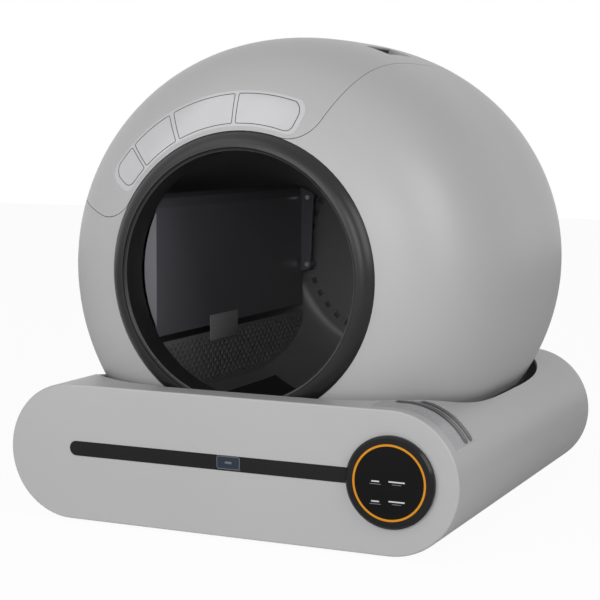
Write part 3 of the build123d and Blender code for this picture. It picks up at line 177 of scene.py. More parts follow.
def toneNode(tree, look, scale):
    values = {"Light": (*look["light"], 1), "Deep": (*look["deep"], 1), "Scale": scale}
    return groupNode(tree, toneGroup, values)


def moulded(name, ownLook):  # a moulded plastic, rubber or film with tone, grain and uneven gloss
    look = {**plainLook, **ownLook}
    material = bpy.data.materials.new(name)
    material.use_nodes = True
    tree = material.node_tree
    shader = tree.nodes["Principled BSDF"]
    tone = toneNode(tree, look, look["toneScale"])
    link(tree, tone.outputs["Color"], shader.inputs["Base Color"])
    grain = groupNode(tree, grainGroup, {"Scale": look["grainScale"], "Cloud": mouldDetail["cloud"]})
    low, high = look["gloss"]
    link(tree, remap(tree, grain.outputs["Gloss"], low, high), shader.inputs["Roughness"])
    bump(tree, grain.outputs["Height"], mouldDetail["grainDepth"], look["grainStrength"], shader)
    shader.inputs["Specular IOR Level"].default_value = look["shine"]
    return material


def metal(name, look):
    material = bpy.data.materials.new(name)
    material.use_nodes = True
    tree = material.node_tree
    shader = tree.nodes["Principled BSDF"]
    shader.inputs["Metallic"].default_value = 1.0
    tone = toneNode(tree, look, metalDetail["toneScale"])
    link(tree, tone.outputs["Color"], shader.inputs["Base Color"])
    lines = groupNode(tree, brushGroup, {"Along": look["along"], "Scale": look["lineScale"]})
    low, high = look["gloss"]
    link(tree, remap(tree, lines.outputs["Gloss"], low, high), shader.inputs["Roughness"])
    bump(tree, lines.outputs["Height"], metalDetail["lineDepth"], metalDetail["lineStrength"], shader)
    return material


finishes = dict(
    shellGrey=dict(light=(0.425, 0.425, 0.427), deep=(0.405, 0.405, 0.407), gloss=(0.36, 0.44), toneScale=2.0,
                   grainScale=1400.0, grainStrength=0.12),
    ringBlack=dict(light=(0.017, 0.017, 0.018), deep=(0.012, 0.012, 0.013), gloss=(0.26, 0.32),
                   grainStrength=0.06, shine=0.3),
    glossBlack=dict(light=(0.012, 0.012, 0.013), deep=(0.008, 0.008, 0.009), gloss=(0.14, 0.20),
                    grainStrength=0.03, shine=0.2),
    darkPlastic=dict(light=(0.030, 0.030, 0.032), deep=(0.022, 0.022, 0.024), gloss=(0.45, 0.6)),
    drumGrey=dict(light=(0.18, 0.18, 0.182), deep=(0.155, 0.155, 0.157), gloss=(0.34, 0.44),
                  grainStrength=0.2),
    plateDark=dict(light=(0.125, 0.119, 0.135), deep=(0.11, 0.105, 0.118), gloss=(0.28, 0.36),
                   grainStrength=0.08),
    screenGrey=dict(light=(0.19, 0.189, 0.193), deep=(0.165, 0.164, 0.168), gloss=(0.34, 0.42),
                    grainStrength=0.1),
    # black rubber of the real rubber parts and the throat; also the painted shade sheet in the latch pocket
    rubberAndShadeBlack=dict(light=(0.022, 0.022, 0.023), deep=(0.014, 0.014, 0.015), gloss=(0.6, 0.8),
                     grainScale=500.0),
    gearPlastic=dict(light=(0.72, 0.71, 0.67), deep=(0.66, 0.65, 0.60), gloss=(0.3, 0.45)),
    # darker and warmer than the shell grey
    latchDarkWarm=dict(light=(0.30, 0.28, 0.25), deep=(0.26, 0.245, 0.22), gloss=(0.3, 0.4)),
    displayGlass=dict(light=(0.007, 0.007, 0.007), deep=(0.004, 0.004, 0.004), gloss=(0.08, 0.14),
                      grainStrength=0.01, shine=0.1),
    boardGreen=dict(light=(0.015, 0.10, 0.04), deep=(0.008, 0.05, 0.02), gloss=(0.2, 0.5),
                    toneScale=160.0),
    tagWhite=dict(light=(0.36, 0.36, 0.36), deep=(0.33, 0.33, 0.33), gloss=(0.3, 0.4)),
    inkDark=dict(light=(0.05, 0.05, 0.05), deep=(0.03, 0.03, 0.03), gloss=(0.3, 0.4)),
    inkPale=dict(light=(0.15, 0.15, 0.15), deep=(0.12, 0.12, 0.12), gloss=(0.3, 0.4)),
    markPale=dict(light=(0.62, 0.62, 0.62), deep=(0.5, 0.5, 0.5), gloss=(0.3, 0.4)),
    markDim=dict(light=(0.16, 0.16, 0.16), deep=(0.12, 0.12, 0.12), gloss=(0.3, 0.4)),
    # painted shade between the ribs of the hub cover
    ribShadeGrey=dict(light=(0.075, 0.075, 0.077), deep=(0.06, 0.06, 0.062), gloss=(0.4, 0.5)),
    bandDark=dict(light=(0.030, 0.030, 0.030), deep=(0.022, 0.022, 0.022), gloss=(0.3, 0.4)),
    filmFrost=dict(light=(0.52, 0.52, 0.53), deep=(0.49, 0.49, 0.50), gloss=(0.16, 0.24), grainStrength=0.03,
                   toneScale=12.0),
    sensorBlue=dict(light=(0.028, 0.037, 0.055), deep=(0.022, 0.030, 0.045), gloss=(0.12, 0.18),
                    grainStrength=0.02, shine=0.2),
    # pale blue: painted highlight on the sensor tile's rim, and the colour of its middle mark
    rimHighlightAndMarkBlue=dict(light=(0.115, 0.127, 0.15), deep=(0.095, 0.105, 0.125), gloss=(0.2, 0.3)),
)
metals = dict(
    drawnSteel=dict(light=(0.62, 0.62, 0.63), deep=(0.52, 0.52, 0.53), along=(40.0, 2.0, 40.0),
                    lineScale=60.0, gloss=(0.2, 0.36)),
    castAluminium=dict(light=(0.66, 0.66, 0.68), deep=(0.58, 0.58, 0.60), along=(2.0, 30.0, 30.0),
                       lineScale=40.0, gloss=(0.3, 0.45)),
)
materials = {name: moulded(name, look) for name, look in finishes.items()}
materials.update({name: metal(name, look) for name, look in metals.items()})


def buildAmber(look):  # the light guide of the display, lit from behind
    material = moulded("lightAmber", look)
    shader = material.node_tree.nodes["Principled BSDF"]
    shader.inputs["Emission Color"].default_value = look["glow"]
    shader.inputs["Emission Strength"].default_value = look["power"]
    return material


def buildFilm(look):  # clear film of the base label: nearly see-through, with its own gloss
    material = bpy.data.materials.new("clearFilm")
    material.use_nodes = True
    tree = material.node_tree
    shader = tree.nodes["Principled BSDF"]
    tone = toneNode(tree, look, look["toneScale"])
    link(tree, tone.outputs["Color"], shader.inputs["Base Color"])
    grain = groupNode(tree, grainGroup, {"Scale": look["grainScale"]})
    low, high = look["gloss"]
    link(tree, remap(tree, grain.outputs["Gloss"], low, high), shader.inputs["Roughness"])
    shader.inputs["Alpha"].default_value = look["cover"]
    bump(tree, grain.outputs["Gloss"], look["waveDepth"], look["waveStrength"], shader)
    return material


materials["lightAmber"] = buildAmber(dict(light=(0.50, 0.20, 0.006), deep=(0.44, 0.17, 0.005), gloss=(0.3, 0.4),
                                          glow=(0.75, 0.27, 0.005, 1), power=0.22, shine=0.2))
materials["clearFilm"] = buildFilm(dict(light=(0.62, 0.62, 0.64), deep=(0.55, 0.55, 0.57), gloss=(0.08, 0.2),
                                        toneScale=12.0, grainScale=400.0, cover=0.22, waveDepth=0.0002,
                                        waveStrength=0.1))
print("finishes made:", len(materials))

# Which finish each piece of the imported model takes, by its slot
slotFinish = dict(
    shell_grey="shellGrey", ring_black="ringBlack", gloss_black="glossBlack", dark_plastic="darkPlastic",
    drum_grey="drumGrey", plate_dark="plateDark", screen_grey="screenGrey", rubber_black="rubberAndShadeBlack",
    gear_plastic="gearPlastic", steel="drawnSteel", aluminium="castAluminium", board_green="boardGreen",
    display_glass="displayGlass", light_amber="lightAmber", sensor_blue="sensorBlue", latch_beige="latchDarkWarm",
)
nodeFinish = dict(drum_front_shell="rubberAndShadeBlack")  # the throat behind the entry ring is darker than the drum
for entry in frame["record"]["subparts"]:
    piece = nodes[entry["node"]]
    finish = nodeFinish.get(entry["node"], slotFinish[entry["material_slot"]])
    piece.data.materials.clear()
    piece.data.materials.append(materials[finish])
print("finishes laid on the packed pieces")


# Small steps that the added pieces share

def beginPiece():
    bpy.ops.object.select_all(action="DESELECT")


def editAll():
    bpy.ops.object.mode_set(mode="EDIT")
    bpy.ops.mesh.select_all(action="SELECT")


def pickVertices(piece, wanted):  # leaves edit mode on, with just the wanted points selected
    bpy.ops.object.mode_set(mode="EDIT")
    bpy.ops.mesh.select_mode(type="VERT")
    bpy.ops.mesh.select_all(action="DESELECT")
    bpy.ops.object.mode_set(mode="OBJECT")
    for vertex in piece.data.vertices:
        vertex.select = wanted(vertex.co)
    bpy.ops.object.mode_set(mode="EDIT")


def pickFaces(piece, wanted):  # the same for faces
    bpy.ops.object.mode_set(mode="EDIT")
    bpy.ops.mesh.select_mode(type="FACE")
    bpy.ops.mesh.select_all(action="DESELECT")
    bpy.ops.object.mode_set(mode="OBJECT")
    for face in piece.data.polygons:
        face.select = wanted(face)
    bpy.ops.object.mode_set(mode="EDIT")


def settlePlace(piece):  # the place goes into the mesh, and the object stands at the origin
    beginPiece()
    piece.select_set(True)
    bpy.context.view_layer.objects.active = piece
    bpy.ops.object.transform_apply(location=True, rotation=True, scale=True)


def applyModifiers(piece):
    bpy.context.view_layer.objects.active = piece
    for modifier in list(piece.modifiers):
        bpy.ops.object.modifier_apply(modifier=modifier.name)


def layOn(piece, node, axis, positive, lift):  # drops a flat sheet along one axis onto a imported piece
    wrap = piece.modifiers.new("wrap", "SHRINKWRAP")
    wrap.target = nodes[node]
    wrap.wrap_method = "PROJECT"
    wrap.use_project_x, wrap.use_project_y, wrap.use_project_z = axis == "X", axis == "Y", axis == "Z"
    wrap.use_positive_direction = positive
    wrap.use_negative_direction = not positive
    applyModifiers(piece)
    editAll()
    bpy.ops.transform.translate(value=lift)
    bpy.ops.object.mode_set(mode="OBJECT")


def thicken(piece, thickness, facing):  # facing is a direction that the sheet's outer side must look to
    if sum((face.normal.dot(Vector(facing)) for face in piece.data.polygons)) < 0:
        editAll()
        bpy.ops.mesh.flip_normals()
        bpy.ops.object.mode_set(mode="OBJECT")
    wall = piece.modifiers.new("wall", "SOLIDIFY")
    wall.thickness = thickness
    wall.offset = 1.0
    applyModifiers(piece)


def finishPiece(piece, name, body, finish, smooth=30):
    settlePlace(piece)
    piece.name = name
    piece.data.materials.clear()
    piece.data.materials.append(materials[finish])
    bpy.ops.object.shade_smooth_by_angle(angle=radians(smooth))
    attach(piece, body)


# Film on the hatch above the entry, with four bare outlined fields; angles run clockwise from the top
film = dict(
    inner=0.1820, outer=0.2250, start=-58.0, end=22.3, sides=360, rings=8, lift=0.0002, thickness=0.0001,
    cornerIn=0.012, cornerOut=0.018, cuts=6,
    cornerReach=0.009, cornerShare=2.6,  # least reach of a corner's cuts, and their reach by its size
    line=0.0009, lineLift=0.0004, fieldInner=0.1850, fieldOuter=0.2220,
    # start, end, and the corner sizes at the start's inner and outer and the end's inner and outer side
    fields=dict(
        a=(-56.0, -45.5, 0.011, 0.016, 0.0028, 0.0028), b=(-44.5, -28.3, 0.0028, 0.0028, 0.0028, 0.0028),
        c=(-26.8, -3.6, 0.0028, 0.0028, 0.0028, 0.0028), d=(-2.4, 20.6, 0.0028, 0.0028, 0.010, 0.016)),
)


def atAngle(radius, angle):
    turn = radians(angle)
    return Vector((radius * sin(turn), globe["before"], globe["axisHeight"] + radius * cos(turn)))


def ringSector(inner, outer, start, end, sides, rings, corners):  # flat piece of a ring in front of the globe
    centre = Vector((0, globe["before"], globe["axisHeight"]))
    beginPiece()
    bpy.ops.mesh.primitive_circle_add(vertices=sides, radius=inner, fill_type="NOTHING", location=centre,
                                      rotation=(pi / 2, 0, 0))
    piece = bpy.context.object
    editAll()
    for step in range(rings):
        grown = (inner + (outer - inner) * (step + 1) / rings) / (inner + (outer - inner) * step / rings)
        bpy.ops.mesh.extrude_edges_move()
        bpy.ops.transform.resize(value=(grown, grown, grown), center_override=centre)
    for angle, keepAfter in ((start, True), (end, False)):
        turn = radians(angle)
        bpy.ops.mesh.select_all(action="SELECT")
        bpy.ops.mesh.bisect(plane_co=centre, plane_no=(cos(turn), 0, -sin(turn)),
                            clear_inner=keepAfter, clear_outer=not keepAfter)
    bpy.ops.object.mode_set(mode="OBJECT")
    settlePlace(piece)
    ends = ((inner, start, -1, -1), (outer, start, 1, -1), (inner, end, -1, 1), (outer, end, 1, 1))
    for size, (radius, angle, outSide, onSide) in zip(corners, ends):  # each corner is rounded by a few cuts
        turn = radians(angle)
        out = Vector((sin(turn), 0, cos(turn))) * outSide
        on = Vector((cos(turn), 0, -sin(turn))) * onSide
        tip = atAngle(radius, angle)
        middle = tip - (out + on) * size
        for cut in range(film["cuts"]):
            share = pi / 2 * (cut + 0.5) / film["cuts"]
            facing = out * cos(share) + on * sin(share)
            reach = max(size * film["cornerShare"], film["cornerReach"])
            pickVertices(piece, lambda co: (co - tip).length < reach)
            bpy.ops.mesh.bisect(plane_co=middle + facing * size, plane_no=facing, clear_outer=True)
            bpy.ops.object.mode_set(mode="OBJECT")
    return piece


filmSheet = ringSector(film["inner"], film["outer"], film["start"], film["end"], film["sides"], film["rings"],
                       (film["cornerIn"], film["cornerOut"]) * 2)
layOn(filmSheet, "hatch_panel", "Y", True, (0, -film["lift"], 0))
thicken(filmSheet, film["thickness"], (0, -1, 0))
finishPiece(filmSheet, "hatch_film", "hatch", "filmFrost")

for field, (start, end, *corners) in film["fields"].items():
    frameLine = ringSector(film["fieldInner"], film["fieldOuter"], start, end, film["sides"], film["rings"],
                           corners)
    editAll()
    bpy.ops.mesh.dissolve_faces()
    bpy.ops.mesh.select_mode(type="FACE")
    bpy.ops.mesh.select_all(action="SELECT")
    bpy.ops.mesh.inset(thickness=film["line"], depth=0)
    bpy.ops.mesh.delete(type="FACE")
    bpy.ops.object.mode_set(mode="OBJECT")
    layOn(frameLine, "hatch_panel", "Y", True, (0, -film["lineLift"], 0))
    thicken(frameLine, film["thickness"], (0, -1, 0))
    finishPiece(frameLine, "film_field_" + field, "hatch", "inkDark")
print("film and its fields made")

# Label on the front right rounding of the base: a clear sheet and two dark bands with a paler core
label = dict(
    sheet=dict(left=0.184, right=0.2895, front=-0.272, back=-0.203, cuts=60), lift=0.0003, thickness=0.0001,
    bands=dict(front=(-0.2385, -0.2255), back=(-0.2215, -0.2100)), bandRight=0.2868, bandLift=0.00066,
    bandLeft=dict(front=0.2015, back=0.2270), core=0.0030, coreIn=0.002, coreBack=0.001, coreLift=0.00102,
    bandTip=((0.0012, 0.8), (0.0008, 0.45)),  # length of each step of the round end, and its share of the width
    trimAt=(0.1815, -0.237), trimSlope=1.625, above=0.20, edgeSlack=0.00001,
)


def baseStrip(left, right, front, back, cuts, rounded):
    centre = Vector(((left + right) / 2, (front + back) / 2, label["above"]))
    beginPiece()
    bpy.ops.mesh.primitive_grid_add(x_subdivisions=cuts, y_subdivisions=2, size=1, location=centre)
    piece = bpy.context.object
    editAll()
    bpy.ops.transform.resize(value=(right - left, back - front, 1), center_override=centre)
    bpy.ops.object.mode_set(mode="OBJECT")
    settlePlace(piece)
    if rounded:
        pickVertices(piece, lambda co: co.x > right - label["edgeSlack"])
        for push, shrink in label["bandTip"]:
            bpy.ops.mesh.extrude_edges_move()
            bpy.ops.transform.translate(value=(push, 0, 0))
            bpy.ops.transform.resize(value=(1, shrink, 1), center_override=(right, centre.y, centre.z))
        bpy.ops.object.mode_set(mode="OBJECT")
    return piece


sheet = label["sheet"]
labelSheet = baseStrip(sheet["left"], sheet["right"], sheet["front"], sheet["back"], sheet["cuts"], False)
editAll()
trimFacing = Vector((1, -label["trimSlope"], 0)).normalized()
bpy.ops.mesh.bisect(plane_co=(*label["trimAt"], label["above"]), plane_no=trimFacing, clear_inner=True)
bpy.ops.object.mode_set(mode="OBJECT")
layOn(labelSheet, "base_upper_shell", "Z", False, (0, 0, label["lift"]))
thicken(labelSheet, label["thickness"], (0, 0, 1))
finishPiece(labelSheet, "base_label", "root", "clearFilm")
for name, (front, back) in label["bands"].items():
    band = baseStrip(label["bandLeft"][name], label["bandRight"], front, back, sheet["cuts"], True)
    layOn(band, "base_upper_shell", "Z", False, (0, 0, label["bandLift"]))
    thicken(band, label["thickness"], (0, 0, 1))
    finishPiece(band, "label_band_" + name, "root", "bandDark")
    middle = (front + back) / 2
    core = baseStrip(label["bandLeft"][name] + label["coreIn"], label["bandRight"] - label["coreBack"],
                     middle - label["core"] / 2, middle + label["core"] / 2, sheet["cuts"], False)
    layOn(core, "base_upper_shell", "Z", False, (0, 0, label["coreLift"]))
    thicken(core, label["thickness"], (0, 0, 1))
    finishPiece(core, "label_core_" + name, "root", "inkPale")
print("base label made")

# Bare tag at the foot of the sifting screen
tag = dict(y=(-0.055, 0.029), z=(0.206, 0.241), thickness=0.0006, lift=0.0002, edge=0.0002, edgeSteps=2)
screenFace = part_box("sifting_screen")[1][0]
tagCentre = Vector((screenFace + tag["thickness"] / 2 + tag["lift"], sum(tag["y"]) / 2, sum(tag["z"]) / 2))
beginPiece()
bpy.ops.mesh.primitive_cube_add(size=1, location=tagCentre)
tagPlate = bpy.context.object
editAll()
bpy.ops.transform.resize(value=(tag["thickness"], tag["y"][1] - tag["y"][0], tag["z"][1] - tag["z"][0]),
                         center_override=tagCentre)
bpy.ops.object.mode_set(mode="OBJECT")
settlePlace(tagPlate)
edge = tagPlate.modifiers.new("edge", "BEVEL")
edge.width = tag["edge"]
edge.segments = tag["edgeSteps"]
applyModifiers(tagPlate)
finishPiece(tagPlate, "plate_tag", "drum", "tagWhite")

# Marks on the display: two rows of two short bars, each with a thin dim rule below
marks = dict(  # left, right and height of each bar, then how far its rule reaches past it
    bars=((0.1958, 0.2056, 0.0926, 0.0020), (0.2170, 0.2368, 0.0934, -0.0042), (0.1960, 0.2058, 0.0693, 0.0020),
          (0.2173, 0.2370, 0.0705, -0.0042)),
    tall=0.0016, thin=0.0008, below=0.0031, depth=0.0002, soften=0.3, softSteps=2,
)
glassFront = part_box("display_glass")[0][1]


def shortBar(name, left, right, height, tall, front, finish):  # a thin raised bar on a flat front
    centre = Vector(((left + right) / 2, front - marks["depth"] / 2, height))
    beginPiece()
    bpy.ops.mesh.primitive_cube_add(size=1, location=centre)
    bar = bpy.context.object
    editAll()
    bpy.ops.transform.resize(value=(right - left, marks["depth"], tall), center_override=centre)
    bpy.ops.object.mode_set(mode="OBJECT")
    settlePlace(bar)
    soften = bar.modifiers.new("soften", "BEVEL")
    soften.width = min(marks["depth"], tall) * marks["soften"]
    soften.segments = marks["softSteps"]
    applyModifiers(bar)
    finishPiece(bar, name, "root", finish)


for number, (left, right, height, past) in enumerate(marks["bars"], 1):
    shortBar("display_bar_%d" % number, left, right, height, marks["tall"],
             glassFront, "markPale")
    shortBar("display_rule_%d" % number, left - past, right + past, height - marks["below"], marks["thin"],
             glassFront, "markDim")
print("tag and display marks made")

# Window of the sensor tile: a thin pale rim with rounded corners, a painted highlight standing for the light on
# the tile's border, and a short mark in its middle
window = dict(inset=0.0005, corner=0.003, cornerSteps=6, rim=0.0009, depth=0.0003, markLong=0.0090,
              markTall=0.0026)
tileLow, tileHigh = (Vector(corner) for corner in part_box("sensor_tile"))
tileMiddle = Vector(((tileLow.x + tileHigh.x) / 2, tileLow.y, (tileLow.z + tileHigh.z) / 2))
beginPiece()
bpy.ops.mesh.primitive_plane_add(size=1, location=tileMiddle, rotation=(pi / 2, 0, 0))
tileRimHighlight = bpy.context.object
editAll()
bpy.ops.transform.resize(value=(tileHigh.x - tileLow.x - 2 * window["inset"], 1,
                                tileHigh.z - tileLow.z - 2 * window["inset"]), center_override=tileMiddle)
bpy.ops.mesh.bevel(offset=window["corner"], segments=window["cornerSteps"], affect="VERTICES")
bpy.ops.mesh.select_mode(type="FACE")
bpy.ops.mesh.select_all(action="SELECT")
bpy.ops.mesh.inset(thickness=window["rim"], depth=0)
bpy.ops.mesh.delete(type="FACE")
bpy.ops.object.mode_set(mode="OBJECT")
settlePlace(tileRimHighlight)
thicken(tileRimHighlight, window["depth"], (0, -1, 0))
finishPiece(tileRimHighlight, "sensor_rim_painted_highlight", "root", "rimHighlightAndMarkBlue")
shortBar("sensor_mark", tileMiddle.x - window["markLong"] / 2, tileMiddle.x + window["markLong"] / 2,
         tileMiddle.z, window["markTall"], tileLow.y, "rimHighlightAndMarkBlue")

# Painted shade: a dark sheet on the left wall of the latch pocket, below the hatch's skin, standing for the
# shade in the deep gap between the pocket's near rim and the paddle
pocketShade = dict(turn=19.5, middleY=-0.0035, across=0.034, along=0.086, top=0.0026, bottom=0.0119, gap=0.0001,
            wall=0.0004, leftFacing=0.5)
facingShare = 0.9  # a face counts as looking along a direction from this share of its normal on
lean = radians(pocketShade["turn"])
outward = Vector((sin(lean), 0, cos(lean)))
pocket = Vector((0, pocketShade["middleY"], globe["axisHeight"]))
pocket += outward * (globe["radius"] - (pocketShade["top"] + pocketShade["bottom"]) / 2)
beginPiece()
bpy.ops.mesh.primitive_cube_add(size=1, location=pocket, rotation=(0, lean, 0),
                                scale=(pocketShade["across"] - 2 * pocketShade["gap"], pocketShade["along"] - 2 * pocketShade["gap"],
                                       pocketShade["bottom"] - pocketShade["top"]))
pocketShadeSheet = bpy.context.object
settlePlace(pocketShadeSheet)
pickFaces(pocketShadeSheet, lambda face: face.normal.x > -pocketShade["leftFacing"]
          or abs(face.normal.dot(outward)) > facingShare)
bpy.ops.mesh.delete(type="FACE")
bpy.ops.object.mode_set(mode="OBJECT")
shadeDepth = pocketShadeSheet.modifiers.new("shadeDepth", "SOLIDIFY")
shadeDepth.thickness = pocketShade["wall"]
shadeDepth.offset = -1.0
applyModifiers(pocketShadeSheet)
finishPiece(pocketShadeSheet, "latch_pocket_painted_shade", "hatch", "rubberAndShadeBlack")

# Short wing on the front edge of the guide plate, bent out and forwards, with a curved outer edge
wing = dict(plateX=-0.1384, out=0.0132, forward=0.0072, halfTall=0.073, bulge=0.215, cuts=9, thickness=0.0008)
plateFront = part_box("guide_plate")[0][1]
wingMiddle = Vector((wing["plateX"] - wing["out"] / 2, plateFront, globe["axisHeight"]))
beginPiece()
bpy.ops.mesh.primitive_plane_add(size=1, location=wingMiddle, rotation=(pi / 2, 0, 0))
plateWing = bpy.context.object
editAll()
bpy.ops.transform.resize(value=(wing["out"], 1, 2 * wing["halfTall"]), center_override=wingMiddle)
bpy.ops.object.mode_set(mode="OBJECT")
settlePlace(plateWing)
pickVertices(plateWing, lambda co: co.x < wingMiddle.x)
bpy.ops.transform.translate(value=(0, -wing["forward"], 0))
spread = wing["halfTall"] / wing["bulge"]
for cut in range(wing["cuts"]):
    swing = spread * (2 * (cut + 0.5) / wing["cuts"] - 1)
    facing = Vector((-cos(swing), 0, sin(swing)))
    centre = Vector((wing["plateX"] - wing["out"] + wing["bulge"], 0, globe["axisHeight"]))
    bpy.ops.mesh.select_all(action="SELECT")
    bpy.ops.mesh.bisect(plane_co=centre + facing * wing["bulge"], plane_no=facing, clear_outer=True)
bpy.ops.object.mode_set(mode="OBJECT")
thicken(plateWing, wing["thickness"], (1, -1, 0))
finishPiece(plateWing, "plate_wing", "drum", "plateDark")

# Painted shade: dark patches between the ribs of the hub cover, standing for the shade beside each rib; one is
# turned round the axis
ribShade = dict(count=40, middle=0.1350, long=0.0096, wide=0.0090, thin=0.0004, ribProud=0.0016, lift=0.00005,
            edge=0.0004, crown=0.0002)
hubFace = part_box("hub_cover")[0][1] + ribShade["ribProud"]
half = pi / ribShade["count"]
ribShadePlace = Vector((ribShade["middle"] * sin(half), hubFace - ribShade["thin"] / 2 + ribShade["lift"],
                   globe["axisHeight"] + ribShade["middle"] * cos(half)))
beginPiece()
bpy.ops.mesh.primitive_cube_add(size=1, location=ribShadePlace, rotation=(0, half, 0),
                                scale=(ribShade["wide"], ribShade["thin"], ribShade["long"]))
hubRibShade = bpy.context.object
settlePlace(hubRibShade)
pickFaces(hubRibShade, lambda face: face.normal.y < -facingShare)
bpy.ops.mesh.inset(thickness=ribShade["edge"], depth=0)
bpy.ops.transform.translate(value=(0, -ribShade["crown"], 0))
editAll()
bpy.ops.mesh.spin(steps=ribShade["count"] - 1, dupli=True, angle=2 * pi * (ribShade["count"] - 1) / ribShade["count"],
                  center=(0, 0, globe["axisHeight"]), axis=(0, 1, 0))
bpy.ops.object.mode_set(mode="OBJECT")
finishPiece(hubRibShade, "hub_rib_painted_shade", "drum", "ribShadeGrey")
print("sensor window, latch pocket painted shade, plate wing and hub rib painted shade made")

# Fine sifting screen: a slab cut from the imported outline, pierced by staggered oval holes
screen = dict(pitchY=0.0137, pitchZ=0.0134, holeY=0.0074, holeZ=0.0068, rim=0.0060, sides=12, through=0.02,
              merge=0.00001, flat=0.5, deeper=4.0)
low, high = (Vector(corner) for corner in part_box("sifting_screen"))
beginPiece()
source = nodes["sifting_screen"]
slab = source.copy()
slab.data = source.data.copy()
bpy.context.collection.objects.link(slab)
slab.select_set(True)
bpy.context.view_layer.objects.active = slab
editAll()
bpy.ops.mesh.remove_doubles(threshold=screen["merge"])
bpy.ops.mesh.convex_hull()
bpy.ops.mesh.dissolve_limited(angle_limit=radians(screen["flat"]))
bpy.ops.object.mode_set(mode="OBJECT")
middle = (low + high) / 2
columns = int((high.y - low.y) / screen["pitchY"])
rows = int((high.z - low.z) / screen["pitchZ"])


def holeField(shiftY, shiftZ):
    start = Vector((middle.x, middle.y - (columns - 1) / 2 * screen["pitchY"] + shiftY,
                    middle.z - (rows - 1) / 2 * screen["pitchZ"] + shiftZ))
    beginPiece()
    bpy.ops.mesh.primitive_cylinder_add(vertices=screen["sides"], radius=0.5, depth=1, location=start,
                                        rotation=(0, pi / 2, 0))
    hole = bpy.context.object
    editAll()
    bpy.ops.transform.resize(value=(screen["through"], screen["holeY"], screen["holeZ"]), center_override=start)
    bpy.ops.object.mode_set(mode="OBJECT")
    settlePlace(hole)
    for axis, count, step in (("y", columns, screen["pitchY"]), ("z", rows, screen["pitchZ"])):
        field = hole.modifiers.new("field" + axis, "ARRAY")
        field.count = count
        field.use_relative_offset = False
        field.use_constant_offset = True
        field.constant_offset_displace = (0, step, 0) if axis == "y" else (0, 0, step)
    applyModifiers(hole)
    return hole


holes = holeField(-screen["pitchY"] / 4, -screen["pitchZ"] / 4)
more = holeField(screen["pitchY"] / 4, screen["pitchZ"] / 4)
beginPiece()
more.select_set(True)
holes.select_set(True)
bpy.context.view_layer.objects.active = holes
bpy.ops.object.join()
keep = slab.copy()  # the field inside the rim, where holes are kept
keep.data = slab.data.copy()
bpy.context.collection.objects.link(keep)
beginPiece()
keep.select_set(True)
bpy.context.view_layer.objects.active = keep
editAll()
fieldShare = (screen["deeper"], 1 - 2 * screen["rim"] / (high.y - low.y),
              1 - 2 * screen["rim"] / (high.z - low.z))
bpy.ops.transform.resize(value=fieldShare, center_override=middle)
bpy.ops.object.mode_set(mode="OBJECT")
for body, other, action in ((holes, keep, "INTERSECT"), (slab, holes, "DIFFERENCE")):
    cut = body.modifiers.new("cut", "BOOLEAN")
    cut.object = other
    cut.operation = action
    cut.solver = "EXACT"
    applyModifiers(body)
bpy.data.objects.remove(holes)
bpy.data.objects.remove(keep)
finishPiece(slab, "fine_screen", "drum", "screenGrey", smooth=35)
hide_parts("sifting_screen")
print("fine screen:", len(slab.data.polygons), "faces")

# Cross-head screws: six in the dish of the rear cover and eight under the base
screw = dict(radius=0.0034, height=0.0011, slot=0.0009, slotLength=0.0040, slotDepth=0.0006, sides=24,
             crown=0.0004, crownSteps=3, sunk=0.0001, coverCount=6, coverTurn=30, coverRing=0.134,
             coverY=0.29515, floorZ=0.004, floorX=(-0.10, 0.10), floorY=(-0.26, -0.09, 0.09, 0.26))


def screwHead():  # stands at the origin, its head looking up
    beginPiece()
    bpy.ops.mesh.primitive_cylinder_add(vertices=screw["sides"], radius=screw["radius"], depth=screw["height"])
    head = bpy.context.object
    pickVertices(head, lambda co: co.z > 0)
    bpy.ops.mesh.bevel(offset=screw["crown"], segments=screw["crownSteps"], affect="EDGES")
    bpy.ops.object.mode_set(mode="OBJECT")
    for turn in (0, pi / 2):
        beginPiece()
        bpy.ops.mesh.primitive_cube_add(size=1, location=(0, 0, screw["height"] / 2), rotation=(0, 0, turn))
        blade = bpy.context.object
        editAll()
        bpy.ops.transform.resize(value=(screw["slotLength"], screw["slot"], screw["slotDepth"] * 2) if turn == 0
                                 else (screw["slot"], screw["slotLength"], screw["slotDepth"] * 2),
                                 center_override=(0, 0, screw["height"] / 2))
        bpy.ops.object.mode_set(mode="OBJECT")
        recess = head.modifiers.new("recess", "BOOLEAN")
        recess.object = blade
        recess.solver = "EXACT"
        applyModifiers(head)
        bpy.data.objects.remove(blade)
    return head


firstScrew = screwHead()


def placeScrew(name, place, tilt):
    head = firstScrew.copy()
    head.data = firstScrew.data.copy()
    bpy.context.collection.objects.link(head)
    head.location = place
    head.rotation_euler = (tilt, 0, 0)
    finishPiece(head, name, "root", "drawnSteel")


for count in range(screw["coverCount"]):
    turn = radians(screw["coverTurn"] + 360 / screw["coverCount"] * count)
    placeScrew("cover_screw_%d" % (count + 1),
               (screw["coverRing"] * sin(turn), screw["coverY"] + screw["height"] / 2 - screw["sunk"],
                globe["axisHeight"] + screw["coverRing"] * cos(turn)), -pi / 2)
floorSpots = [(x, y) for x in screw["floorX"] for y in screw["floorY"]]
for count, (x, y) in enumerate(floorSpots, 1):
    placeScrew("base_screw_%d" % count, (x, y, screw["floorZ"] - screw["height"] / 2 + screw["sunk"]), pi)
bpy.data.objects.remove(firstScrew)
print("screws made")


# Stage: a pale floor that keeps the shadow, white to the camera, and a white world
stage = dict(floorSize=14.0, floorTone=(0.86, 0.86, 0.86, 1), floorGloss=0.9, floorLight=0.95,
             worldTone=(0.97, 0.975, 1.0, 1), worldLight=0.2, lampAim=(0, 0, 0.3))


